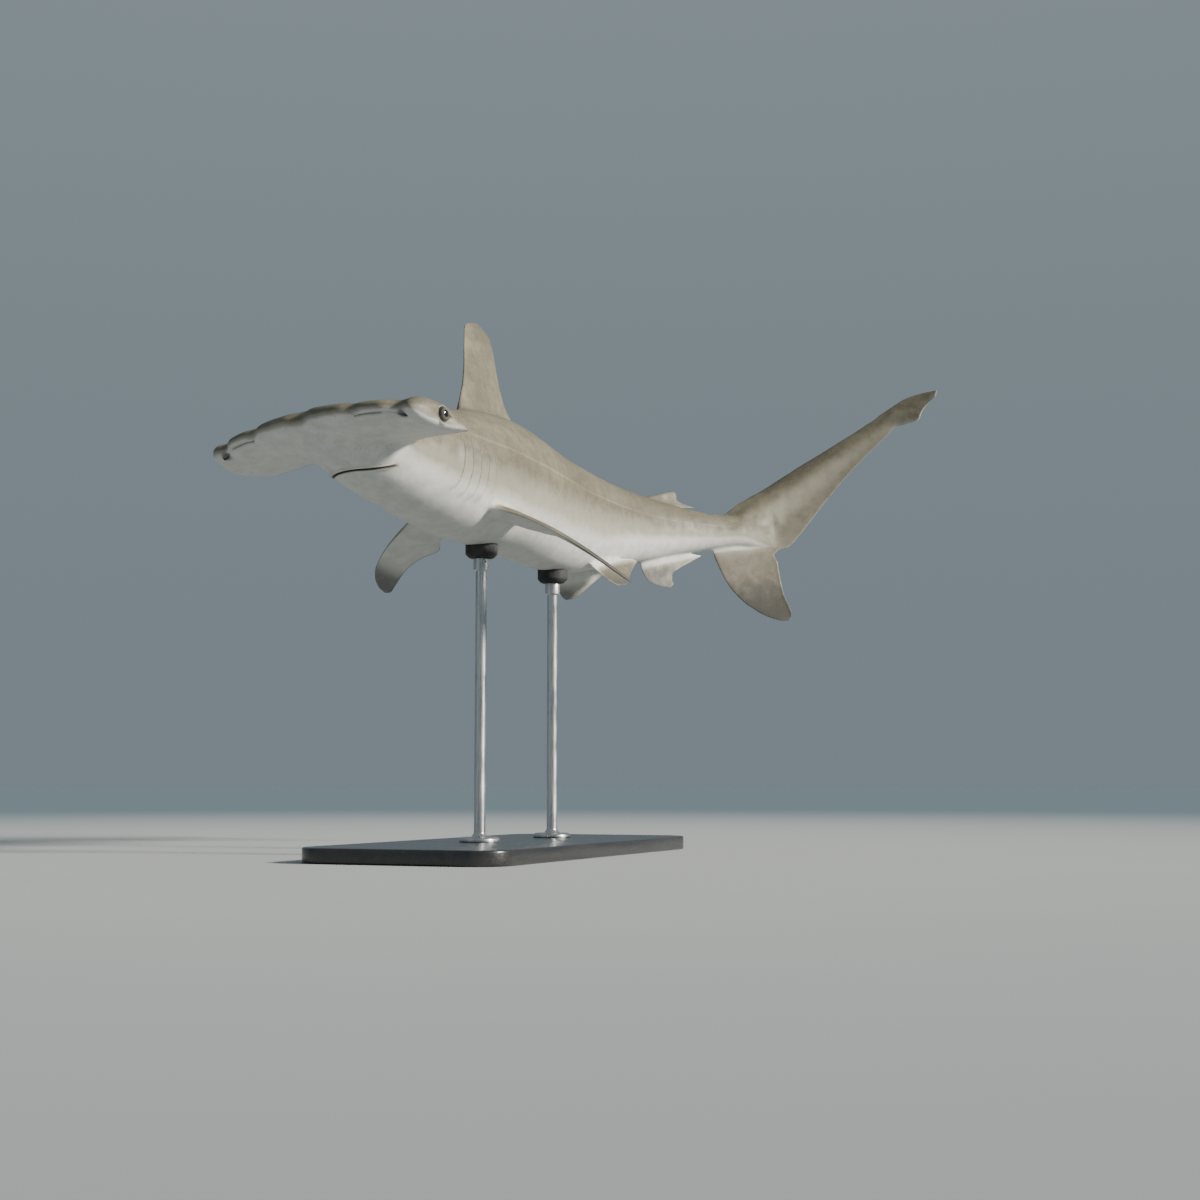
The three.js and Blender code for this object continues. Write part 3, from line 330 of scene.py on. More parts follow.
def loft(name, rings):
    """Closed skin over rings of equally many points, with a fan at either end."""
    rings = np.asarray(rings)
    rows, count = rings.shape[:2]
    points = np.concatenate([rings.reshape(-1, 3), [rings[0].mean(0)], [rings[-1].mean(0)]])
    faces = ring_faces(rows, count, False)
    start = (rows - 1) * count
    for j in range(count):
        k = (j + 1) % count
        faces.append((rows * count, k, j))
        faces.append((rows * count + 1, start + j, start + k))
    return make_object(name, points, face_outwards(points, faces))


def sheet_surface(name, middle, half):
    """Closed thin solid round a grid of middle points, with a half thickness at each."""
    rows, columns = half.shape
    along = np.gradient(middle, axis=1)
    out = np.gradient(middle, axis=0)
    normal = np.cross(along, out)
    normal /= np.maximum(np.linalg.norm(normal, axis=-1, keepdims=True), 1e-12)
    offset = normal * half[..., None]
    points = np.concatenate([(middle + offset).reshape(-1, 3), (middle - offset).reshape(-1, 3)])
    size = rows * columns
    faces = []
    for i in range(rows - 1):
        for j in range(columns - 1):
            a = i * columns + j
            faces.append((a, a + 1, a + 1 + columns, a + columns))
            faces.append((size + a, size + a + columns, size + a + 1 + columns, size + a + 1))
    border = list(range(columns - 1))
    border += [i * columns + columns - 1 for i in range(rows - 1)]
    border += [(rows - 1) * columns + j for j in range(columns - 1, 0, -1)]
    border += [i * columns for i in range(rows - 1, 0, -1)]
    for a, b in zip(border, border[1:] + border[:1]):
        faces.append((a, size + a, size + b, b))
    return make_object(name, points, face_outwards(points, faces))


def tube(name, route, radius, sides):
    """Round bar along a route, with radius a number or one for each point."""
    route = np.asarray(route)
    tangent = np.gradient(route, axis=0)
    tangent /= np.linalg.norm(tangent, axis=1, keepdims=True)
    side = np.cross(tangent, [0.02, 0.03, 1.0])
    side /= np.linalg.norm(side, axis=1, keepdims=True)
    rise = np.cross(side, tangent)
    angles = full_turn(sides)
    radius = np.broadcast_to(radius, len(route))[:, None, None]
    rings = route[:, None] + radius * (
        np.cos(angles)[None, :, None] * side[:, None] + np.sin(angles)[None, :, None] * rise[:, None]
    )
    return loft(name, rings)


def combine(target, parts, operation):
    """Joins the parts to the target or cuts them out of it, and deletes them."""
    for part in parts:
        modifier = target.modifiers.new(part.name, "BOOLEAN")
        modifier.operation = operation
        modifier.object = part
        modifier.solver = "MANIFOLD"
    graph = bpy.context.evaluated_depsgraph_get()
    result = bpy.data.meshes.new_from_object(target.evaluated_get(graph))
    target.modifiers.clear()
    target.data = result
    for part in parts:
        bpy.data.objects.remove(part, do_unlink=True)


# Trunk.
def even_power(value):
    return np.sign(value) * np.abs(value) ** (2 / SECTION_POWER)


def gill_places(station, degrees):
    """For each slit: how far ahead of it a place lies, in metres, and where along it (-1 foot, 1 top)."""
    for slit, top, foot, bow, tilt in zip(GILL_STATIONS, GILL_TOPS, GILL_FOOTS, GILL_BOWS, GILL_TILTS):
        share = (degrees - foot) / (top - foot) * 2 - 1
        yield (slit - bow * share**2 + tilt * share - station) * TOTAL_LENGTH, share


def gill_relief(station, angle):
    """Height of the gill flaps over the flank, in metres: each rises towards its slit and drops in."""
    degrees = np.degrees(np.arctan2(np.sin(angle), np.abs(np.cos(angle))))
    relief = np.zeros(np.broadcast(station, degrees).shape)
    for before, share in gill_places(station, degrees):
        inside = smoothstep(1.12, 0.7, np.abs(share))
        flap = GILL_FLAP_RISE * np.clip(1 - before / GILL_FLAP_LENGTH, 0, 1) ** 1.3
        flap *= smoothstep(-0.0006, 0.0008, before)
        groove = -GILL_GROOVE_DEPTH * smoothstep(-0.0046, -0.0018, before)
        groove *= smoothstep(0.0006, -0.0008, before)
        relief += (flap + groove) * inside
    return relief


def body_section(station):
    """Half width, height above and depth below the centre line."""
    return [smooth_value(BODY_PROFILE, station, k) for k in (1, 2, 3)]


def body_points(station, angle):
    width, above, below = body_section(station)
    relief = gill_relief(station, angle) / TOTAL_LENGTH
    lateral = (width + relief) * even_power(np.cos(angle))
    height = (np.where(np.sin(angle) > 0, above, below) + relief) * even_power(np.sin(angle))
    return point_at(station, lateral, height)


def body_object():
    """Closed trunk, with its rings closer together at the gills."""
    coarse = np.arange(BODY_PROFILE[0][0], BODY_END, RING_STEP)
    fine = np.arange(*GILL_SPAN, GILL_RING_STEP)
    coarse = coarse[(coarse < fine[0] - 0.001) | (coarse > fine[-1] + 0.001)]
    stations = np.sort(np.concatenate([coarse, fine, [BODY_END]]))
    angles = full_turn(RING_POINTS)
    return loft("skin", body_points(stations[:, None], angles[None, :]))


def belly_height(station, lateral):
    width, _, below = body_section(station)
    share = np.minimum(np.abs(lateral / width), 0.98)
    return -below * (1 - share**SECTION_POWER) ** (1 / SECTION_POWER)


# Head wing.
def wing_outline(share):
    span = np.abs(share)
    notch = sum(depth * np.exp(-(((span - place) / width) ** 2)) for place, depth, width in SCALLOPS)
    tip = np.maximum(0, (span - WING_TIP_START) / (1 - WING_TIP_START))
    keep = (1 - tip**WING_TIP_POWER) ** (1 / WING_TIP_POWER)
    front = WING_TIP_MIDDLE + (WING_FRONT_SWEEP * span**2.4 - WING_TIP_MIDDLE) * keep
    inwards = np.clip((FILLET_START - span) / (FILLET_START - FILLET_END), 0, 1)
    rear = WING_TIP_MIDDLE + (WING_REAR - WING_TIP_MIDDLE) * keep + WING_FILLET * inwards**2
    height = WING_HEIGHT + WING_TIP_DROOP * span**1.5
    return front, rear, keep, height, notch * keep


def wing_point(share, chord, side, edge=WING_REAR_EDGE):
    front, rear, keep, height, notch = wing_outline(share)
    bulge = np.sqrt(chord) * (1 - chord) * 2.6
    most = smooth_value(WING_THICKNESS, np.abs(share), 1) * keep**0.8
    half = most * bulge + edge / TOTAL_LENGTH * np.minimum(1, chord * 3)
    station = front + (rear - front) * chord + notch * (1 - chord) ** 4
    return point_at(station, share * WING_HALF_SPAN, height + side * half)


def wing_object():
    even = np.linspace(-1, 1, 171)
    share = 0.9985 * (0.5 * even + 0.5 * np.sin(even * math.pi / 2))
    angle = 2 * np.pi * (np.arange(60) + 0.5) / 60
    chord, side = (1 - np.cos(angle)) / 2, np.sign(np.sin(angle))
    return loft("wing", wing_point(share[:, None], chord[None, :], side[None, :]))


# Fins.
def fin_grid(table, rows, columns, cap):
    """Grid of a fin, closer at its tip and front edge: height, station, and shares of chord and height.

    The last value is how far the tip's rounding, over the last cap of height, narrows each row.
    """
    lowest, highest = table[0][0], table[-1][0]
    u = np.linspace(0, 1, rows)
    height = lowest + (highest - lowest) * (0.65 * u + 0.35 * np.sin(u * math.pi / 2))
    leading, trailing = smooth_value(table, height, 1), smooth_value(table, height, 2)
    near_tip = np.clip((height - (highest - cap)) / cap, 0, 0.995)
    narrow = np.sqrt(1 - near_tip**2)
    middle = leading * 0.4 + trailing * 0.6
    leading, trailing = middle + (leading - middle) * narrow, middle + (trailing - middle) * narrow
    j = np.linspace(0, 1, columns)
    chord = (0.45 * (1 - np.cos(j * math.pi)) / 2 + 0.55 * j) ** 1.2
    station = leading[:, None] + (trailing - leading)[:, None] * chord[None, :]
    height, chord = height[:, None] + 0 * station, chord[None, :] + 0 * station
    return height, station, chord, (height - lowest) / (highest - lowest), narrow[:, None]


def fin_half(chord, span, root, tip, edge):
    most = root + (tip - root) * np.minimum(1, np.maximum(span, 0) * 1.1) ** 0.8
    section = np.minimum(1, 2.6 * np.sqrt(chord) * (1 - chord))
    return np.maximum(edge, most * section)


def fin_object(name, middle, half, narrow):
    return sheet_surface(name, middle, np.maximum(half * narrow**0.6, FIN_TIP_HALF))


def middle_fin(name, table, thickness, direction, size, lean, cap):
    height, station, chord, span, narrow = fin_grid(table, *size, cap)
    half = fin_half(chord, span, *thickness)
    surface = smooth_value(BODY_PROFILE, station, 2 if direction > 0 else 3)
    half = half * (1 + 0.5 * np.exp(-((np.maximum(0, height - surface) / 0.009) ** 2)))
    middle = point_at(station, -lean * (height / table[-1][0]) ** 4, direction * height)
    return fin_object(name, middle, half, narrow)


def paired_fin(name, table, thickness, root, side, droop, curl, size, cap):
    out, station, chord, span, narrow = fin_grid(table, *size, cap)
    root_station, root_lateral, root_height, slope = root
    angle = math.radians(droop)
    lateral = root_lateral + out * math.cos(angle)
    fall = out * math.sin(angle) + curl * np.maximum(0, out) ** 2
    height = root_height - fall - (station - root_station) * slope
    half = fin_half(chord, span, *thickness)
    half = half * (1 + 0.4 * np.exp(-((np.maximum(0, out - 0.012) / 0.01) ** 2)))
    return fin_object(name, point_at(station, side * lateral, height), half, narrow)


def upper_lobe():
    """Web between the lobe's two edges, thickened along its axis by the flesh of the tail."""
    rows, columns = UPPER_LOBE_GRID
    table = np.array([[i, *row] for i, row in enumerate(UPPER_LOBE)], float)
    i = np.linspace(0, len(UPPER_LOBE) - 1, rows)
    edges = [smooth_value(table, i, k)[:, None] for k in (1, 2, 3, 4)]
    j = np.linspace(0, 1, columns)
    share = (0.5 * (1 - np.cos(j * math.pi)) / 2 + 0.5 * j)[None, :]
    station = edges[0] + (edges[2] - edges[0]) * share
    height = edges[1] + (edges[3] - edges[1]) * share
    middle, reach, thick = [smooth_value(LOBE_AXIS, station, k) for k in (1, 2, 3)]
    away = np.minimum(1, np.abs(height - middle) / reach)
    flesh = thick * TOTAL_LENGTH * (1 - away**SECTION_POWER) ** (1 / SECTION_POWER)
    web = fin_half(0.04 + 0.96 * share + 0 * station, i[:, None] / len(UPPER_LOBE), *UPPER_LOBE_HALF)
    return sheet_surface("upper_lobe", point_at(station, 0, height), np.maximum(web, flesh))


def lower_lobe():
    height, station, chord, span, narrow = fin_grid(LOWER_LOBE, *LOWER_LOBE_GRID, LOWER_LOBE_CAP)
    half = fin_half(chord, span, *LOWER_LOBE_HALF)
    return fin_object("lower_lobe", point_at(station, 0, -height), half, narrow)


# Smoothing of the joins.
def mesh_arrays(mesh):
    points = np.empty(len(mesh.vertices) * 3)
    mesh.vertices.foreach_get("co", points)
    edges = np.empty(len(mesh.edges) * 2, int)
    mesh.edges.foreach_get("vertices", edges)
    return points.reshape(-1, 3), edges.reshape(-1, 2)


def relaxed(points, edges, weight, rounds):
    """Moves each point towards the mean of its neighbours, by its weight."""
    a, b = edges.T
    ends, others = np.concatenate([a, b]), np.concatenate([b, a])
    count = np.bincount(ends, minlength=len(points))[:, None]
    for _ in range(rounds):
        total = np.stack([
            np.bincount(ends, points[others, k], len(points)) for k in range(points.shape[1])
        ], axis=1)
        points = points + weight[:, None] * (total / np.maximum(count, 1) - points)
    return points


def set_points(mesh, points):
    mesh.vertices.foreach_set("co", points.ravel())
    mesh.update()


def vertex_normals(mesh):
    normals = np.empty(len(mesh.vertices) * 3)
    mesh.vertices.foreach_get("normal", normals)
    return normals.reshape(-1, 3)


def local_coordinates(points):
    """Station, lateral and height (shares) of points in the straightened body."""
    coarse = np.linspace(0, 1, 201)
    centres = centre_at(coarse)
    station = np.empty(len(points))
    for start in range(0, len(points), 20000):
        part = points[start:start + 20000]
        distance = ((part[:, None] - centres[None]) ** 2).sum(2)
        station[start:start + 20000] = coarse[distance.argmin(1)]
    for _ in range(12):
        back, _, _ = axes_at(station)
        station = np.clip(station + 0.8 * ((points - centre_at(station)) * back).sum(1) / TOTAL_LENGTH, 0, 1)
    back, left, up = axes_at(station)
    arm = (points - centre_at(station)) / TOTAL_LENGTH
    return station, (arm * left).sum(1), (arm * up).sum(1)


def concave_edges(mesh):
    """Middles of the sharp inward edges that a union leaves."""
    work = bmesh.new()
    work.from_mesh(mesh)
    found = [
        (edge.verts[0].co + edge.verts[1].co) / 2
        for edge in work.edges
        if len(edge.link_faces) == 2 and not edge.is_convex and edge.calc_face_angle(0) > 0.3
    ]
    work.free()
    return np.array([tuple(p) for p in found])


def distance_to(targets, points):
    tree = KDTree(len(targets))
    for k, place in enumerate(targets):
        tree.insert(Vector(place), k)
    tree.balance()
    return np.array([tree.find(Vector(p))[2] for p in points])


def round_joins(mesh):
    """Rounds the joins of head wing and fins, more where the fins are thick, and leaves the gills sharp."""
    joins = concave_edges(mesh)
    station, _, height = local_coordinates(joins)
    in_gills = (station > 0.15) & (station < 0.2155) & (height > -0.043)
    points, edges = mesh_arrays(mesh)
    distance = distance_to(joins[~in_gills], points)
    station = local_coordinates(points)[0]
    reach = np.interp(station, *JOIN_REACH.T)
    weight = 0.6 * smoothstep(1, 0.1, distance / reach)
    set_points(mesh, relaxed(points, edges, weight, 26))


# Head details.
def eye_frame(side):
    """Centre of an eye, and the directions outwards, backwards and up from it."""
    back, left, up = axes_at(EYE_STATION)
    height = wing_outline(np.array(EYE_SPAN))[3]
    inset = (EYE_RADIUS - EYE_PROUD) / TOTAL_LENGTH
    centre = point_at(EYE_STATION, side * (WING_HALF_SPAN - inset), height)
    return centre, left * side, back, up


def eyeball(name, side, radius, bulge):
    """Ball round the eye's axis, which bulges over the cornea."""
    centre, out, back, up = eye_frame(side)
    turns = full_turn(TURNED_SEGMENTS)
    rim = np.cos(turns)[:, None] * back + np.sin(turns)[:, None] * up
    angles = np.linspace(0.02, math.pi - 0.02, 64)
    radii = radius * (1 + bulge * np.exp(-((angles / 0.62) ** 4)))
    return loft(name, [
        centre + r * (math.cos(angle) * out + math.sin(angle) * rim) for angle, r in zip(angles, radii)
    ])


def lid(side):
    """Fold of skin round the eye, thicker above and below than in front and behind."""
    centre, out, back, up = eye_frame(side)
    middle = centre + out * (EYE_RADIUS - EYE_PROUD - LID_RECESS)
    segments, sides = 72, 18
    around = full_turn(segments)
    tube_turn = full_turn(sides)
    rim = np.cos(around)[:, None] * back + np.sin(around)[:, None] * up
    thick = LID_THICKNESS + LID_SWELL * np.cos(2 * around + math.pi)
    ring = LID_RADIUS * rim[:, None] + thick[:, None, None] * (
        np.cos(tube_turn)[None, :, None] * rim[:, None] + np.sin(tube_turn)[None, :, None] * out
    )
    points = (middle + ring).reshape(-1, 3)
    return make_object(f"lid{side}", points, face_outwards(points, ring_faces(segments, sides, True)))


def nostril(side):
    """Slanted pit under the front edge, long along the wing."""
    chord = np.array(NOSTRIL_CHORD)
    centre = wing_point(side * NOSTRIL_SPAN, chord, -1, 0)
    inner = wing_point(side * (NOSTRIL_SPAN - 0.06), chord, -1, 0)
    along = (inner - centre) / np.linalg.norm(inner - centre)
    back = axes_at(0.02)[0]
    depth = np.cross(along, back)
    depth /= np.linalg.norm(depth)
    across = np.cross(depth, along)
    turns = full_turn(32)
    rings = []
    for angle in np.linspace(0.05, math.pi - 0.05, 20):
        rim = NOSTRIL_WIDTH * np.cos(turns)[:, None] * across + NOSTRIL_DEPTH * np.sin(turns)[:, None] * depth
        rings.append(centre + NOSTRIL_LENGTH * math.cos(angle) * along + math.sin(angle) * rim)
    return loft(f"nostril{side}", rings)


def nostril_groove(side):
    share = np.linspace(NOSTRIL_GROOVE_FROM, NOSTRIL_SPAN, 60)
    fade = smoothstep(NOSTRIL_GROOVE_FROM - 0.05, NOSTRIL_GROOVE_FROM + 0.2, share)
    route = wing_point(side * share, np.full(len(share), NOSTRIL_GROOVE_CHORD), -1, 0)
    return tube(f"groove{side}", route, NOSTRIL_GROOVE_RADIUS * fade, 14)


def mouth_route(offset):
    """Arch of the mouth under the head, moved forwards by an offset in shares of the length."""
    across = np.linspace(-1, 1, MOUTH_POINTS)
    lateral = across * MOUTH_HALF_WIDTH * (1 + offset * 6)
    station = MOUTH_FRONT - offset + (MOUTH_CORNER - MOUTH_FRONT) * np.abs(across) ** MOUTH_ARCH
    return point_at(station, lateral, belly_height(station, lateral))


def add_mouth(skin):
    """Lips in front of and behind the mouth, and its line cut between them, all thinner at the corners."""
    across = np.abs(np.linspace(-1, 1, MOUTH_POINTS))
    lip = LIP_RADIUS * (1 - 0.85 * across**4)
    offsets = (LIP_OFFSET, -LIP_OFFSET)
    lips = [tube(f"lip{k}", mouth_route(offset), lip, 18) for k, offset in enumerate(offsets)]
    combine(skin, lips, "UNION")
    soften(skin.data, mouth_route(0), LIP_REACH, 8)
    line = MOUTH_LINE_RADIUS * (1 - 0.93 * across**5)
    combine(skin, [tube("mouth_line", mouth_route(0), line, 14)], "DIFFERENCE")


def soften(mesh, targets, reach, rounds):
    points, edges = mesh_arrays(mesh)
    weight = 0.5 * smoothstep(1, 0.4, distance_to(targets, points) / reach)
    set_points(mesh, relaxed(points, edges, weight, rounds))


def shape_pit(mesh):
    """Crescent dent across the back, just in front of the root of the upper tail lobe."""
    points, _ = mesh_arrays(mesh)
    station, lateral, height = local_coordinates(points)
    dent = np.exp(-(((station - PIT_STATION + PIT_SWEEP * lateral**2 / PIT_WIDTH) / PIT_LENGTH) ** 2))
    dent *= (height > 0) * smoothstep(0.014, 0.004, np.abs(lateral))
    up = axes_at(station)[2]
    set_points(mesh, points - up * (dent * PIT_DEPTH)[:, None])


def shape_flesh(mesh):
    """Low relief of the flesh: a furrow along the flank and a slight unevenness all over."""
    points, _ = mesh_arrays(mesh)
    station, lateral, height = local_coordinates(points)
    width, above, _ = body_section(station)
    on_trunk = smoothstep(0.215, 0.26, station) * smoothstep(0.7, 0.62, station)
    side = smoothstep(0.8, 0.95, np.abs(lateral) / width)
    furrow = np.exp(-(((height - FURROW_HEIGHT) / FURROW_WIDTH) ** 2)) * on_trunk * side
    rest = np.stack([lateral, station, height], axis=1) * TOTAL_LENGTH * UNEVEN_SCALE
    uneven = np.array([noise.noise(Vector(p)) for p in rest])
    fin = smoothstep(1.0, 1.3, np.hypot(lateral / width, height / above))
    rise = UNEVENNESS * uneven * (1 - 0.9 * fin) - FURROW_DEPTH * furrow
    set_points(mesh, points + vertex_normals(mesh) * rise[:, None])


# Fields over the skin that its material reads.
def store(mesh, name, values):
    kind, key = ("FLOAT", "value") if values.ndim == 1 else ("FLOAT_VECTOR", "vector")
    layer = mesh.attributes.new(name, kind, "POINT")
    layer.data.foreach_set(key, np.ascontiguousarray(values, np.float32).ravel())


def smoothed(values, edges, rounds):
    return relaxed(values[:, None], edges, np.full(len(values), 0.7), rounds)[:, 0]


def paint_fields(mesh):
    """Back or belly, dusky tips, painted shade on fins and in hollows, lateral line, head, and places in the
    straightened body.
    """
    points, edges = mesh_arrays(mesh)
    station, lateral, height = local_coordinates(points)
    width, above, below = body_section(station)
    extent = np.where(height > 0, above, below)
    radial = np.hypot(lateral / width, height / extent)
    on_trunk = smoothstep(1.38, 1.03, radial) * smoothstep(0.08, 0.115, station)
    on_trunk *= smoothstep(0.775, 0.735, station)
    facing = (vertex_normals(mesh) * axes_at(station)[2]).sum(1)
    by_place = np.clip(height / extent, -1, 1)
    upward = facing + (by_place - facing) * on_trunk
    store(mesh, "upward", smoothed(upward, edges, 18))

    reach = np.hypot(np.abs(lateral) - PECTORAL_ROOT[1], height - PECTORAL_ROOT[2])
    pectoral = (np.abs(lateral) > width * 1.05) & (station > 0.2) & (station < 0.35) & (height < 0.03)
    dusky_tips_and_shade = smoothstep(0.048, 0.096, reach) * pectoral
    # Lower tail lobe: its own dusky tip, made darker and larger as painted shade.
    lower = (station > 0.72) & (height < -0.03)
    dusky_tips_and_shade = np.maximum(dusky_tips_and_shade, smoothstep(0.026, 0.1, -height) * lower)
    # The anal and pelvic rows add painted shade to the fins' own dusky tips.
    for strength, side, start, full, first, last in DUSKY_AND_SHADED_FINS:
        here = (station > first) & (station < last)
        dusky_tips_and_shade = np.maximum(dusky_tips_and_shade, strength * smoothstep(start, full, side * height) * here)
    store(mesh, "dusky_tips_and_shade", smoothed(dusky_tips_and_shade, edges, 6))
    store(mesh, "level", (height - np.interp(station, *LATERAL_LINE.T)) * TOTAL_LENGTH)
    trunk_line = smoothstep(0.155, 0.2, station) * smoothstep(0.74, 0.7, station)
    store(mesh, "line", trunk_line * smoothstep(1.2, 1.1, radial))
    store(mesh, "head", smoothstep(0.12, 0.07, station))

    # Painted shade in the mouth line, the nostrils and the gill slits.
    mouth = smoothstep(0.006, 0.0015, distance_to(mouth_route(0), points))
    hollows = [wing_point(s * NOSTRIL_SPAN, np.array([NOSTRIL_CHORD]), -1, 0) for s in (1, -1)]
    vents = smoothstep(0.013, 0.006, distance_to(np.concatenate(hollows), points)) * 0.8
    degrees = np.degrees(np.arctan2(height / extent, np.abs(lateral) / width))
    slit = np.zeros(len(points))
    for before, share in gill_places(station, degrees):
        inside = smoothstep(1.15, 0.75, np.abs(share)) * (np.abs(lateral) > width * 0.5)
        shade = smoothstep(-0.0058, -0.0022, before) * smoothstep(0.001, -0.0012, before)
        slit = np.maximum(slit, inside * shade)
    store(mesh, "hollow_shade", np.maximum(np.maximum(mouth, vents), slit))
    store(mesh, "rest", np.stack([lateral, station, height], axis=1) * TOTAL_LENGTH)


# The whole skin.
skin = body_object()
parts = [wing_object()] + [middle_fin(*row) for row in MIDDLE_FINS]
for side in (1, -1):
    for name, table, thickness, root, pose, size, cap in PAIRED_FINS:
        parts.append(paired_fin(f"{name}{side}", table, thickness, root, side, *pose[side], size, cap))
parts += [upper_lobe(), lower_lobe()]
combine(skin, parts, "UNION")
round_joins(skin.data)
shape_pit(skin.data)
combine(skin, [lid(1), lid(-1)], "UNION")
for side in (1, -1):
    centre, out, _, _ = eye_frame(side)
    soften(skin.data, [centre + out * LID_SOFT_RISE], LID_SOFT_REACH, 3)
add_mouth(skin)
cuts = [nostril(side) for side in (1, -1)] + [nostril_groove(side) for side in (1, -1)]
cuts += [eyeball(f"socket{side}", side, EYE_RADIUS + NODE_GAP, 0) for side in (1, -1)]
combine(skin, cuts, "DIFFERENCE")
shape_flesh(skin.data)
paint_fields(skin.data)


# Materials.
class Shader:
    """Node graph of one material, with short names for the nodes it uses."""

    def __init__(self, name):
        self.material = bpy.data.materials.new(name)
        self.material.use_nodes = True
        self.nodes = self.material.node_tree.nodes
        self.links = self.material.node_tree.links
        self.surface = next(node for node in self.nodes if node.type == "BSDF_PRINCIPLED")

    def feed(self, socket, value):
        """Links a socket to another, or sets its value."""
        if isinstance(value, bpy.types.NodeSocket):
            self.links.new(value, socket)
        else:
            socket.default_value = value

    def fill(self, node, values):
        for name, value in values.items():
            self.feed(node.inputs[name.replace("_", " ")], value)
        return node

    def set(self, **values):
        self.fill(self.surface, values)

    def node(self, kind, **values):
        return self.fill(self.nodes.new("ShaderNode" + kind), values)

    def field(self, name, vector=False):
        made = self.node("Attribute")
        made.attribute_name = name
        return made.outputs["Vector" if vector else "Fac"]

    def place(self):
        return self.node("TexCoord").outputs["Object"]

    def scaled(self, vector, scale):
        return self.node("Mapping", Vector=vector, Scale=scale).outputs["Vector"]

    def noise(self, vector, scale, detail, roughness=0.55):
        made = self.node("TexNoise", Vector=vector, Scale=scale, Detail=detail, Roughness=roughness)
        return made.outputs["Fac"]

    def cells(self, vector, scale, feature="F1"):
        made = self.node("TexVoronoi", Vector=vector, Scale=scale)
        made.feature = feature
        return made.outputs["Distance"]

    def math(self, operation, first, second=0.0):
        made = self.node("Math")
        made.operation = operation
        self.feed(made.inputs[0], first)
        self.feed(made.inputs[1], second)
        return made.outputs[0]

    def swing(self, value, reach):
        """A noise value moved to either side of zero."""
        return self.math("MULTIPLY", self.math("SUBTRACT", value, 0.5), reach)

    def ramp(self, value, low, high, to_low=0.0, to_high=1.0):
        made = self.node("MapRange", Value=value, From_Min=low, From_Max=high, To_Min=to_low, To_Max=to_high)
        made.interpolation_type = "SMOOTHSTEP"
        return made.outputs["Result"]

    def mix(self, factor, first, second):
        made = self.node("Mix")
        made.data_type = "RGBA"
        for place, value in ((0, factor), (6, first), (7, second)):
            self.feed(made.inputs[place], (*value, 1) if isinstance(value, tuple) else value)
        return made.outputs[2]

    def bump(self, height, strength, distance, **below):
        made = self.node("Bump", Height=height, Strength=strength, Distance=distance, **below)
        return made.outputs["Normal"]


BACK_TONES = (0.108, 0.095, 0.065), (0.185, 0.166, 0.118)
FLANK_TONES = (0.26, 0.245, 0.195), (0.34, 0.325, 0.27)
# Off-white belly set greyer than the animal's, partly as painted shade under the body.
SHADED_BELLY_TONES = (0.5, 0.5, 0.47), (0.6, 0.6, 0.57)
MOTTLE_TONE, GRAIN_TONE, RIDGE_TONE = (0.078, 0.071, 0.054), (0.26, 0.24, 0.185), (0.09, 0.081, 0.06)
# The first of these darkens dusky fin tips, and on the anal fin, pelvic fins and lower tail lobe adds painted
# shade.
DUSKY_AND_SHADE_TONE, LINE_TONE = (0.045, 0.044, 0.042), (0.42, 0.41, 0.36)
# The second of these is painted shade in the mouth line, nostrils and gill slits.
PORE_TONE, HOLLOW_SHADE_TONE = (0.07, 0.066, 0.06), (0.035, 0.026, 0.024)


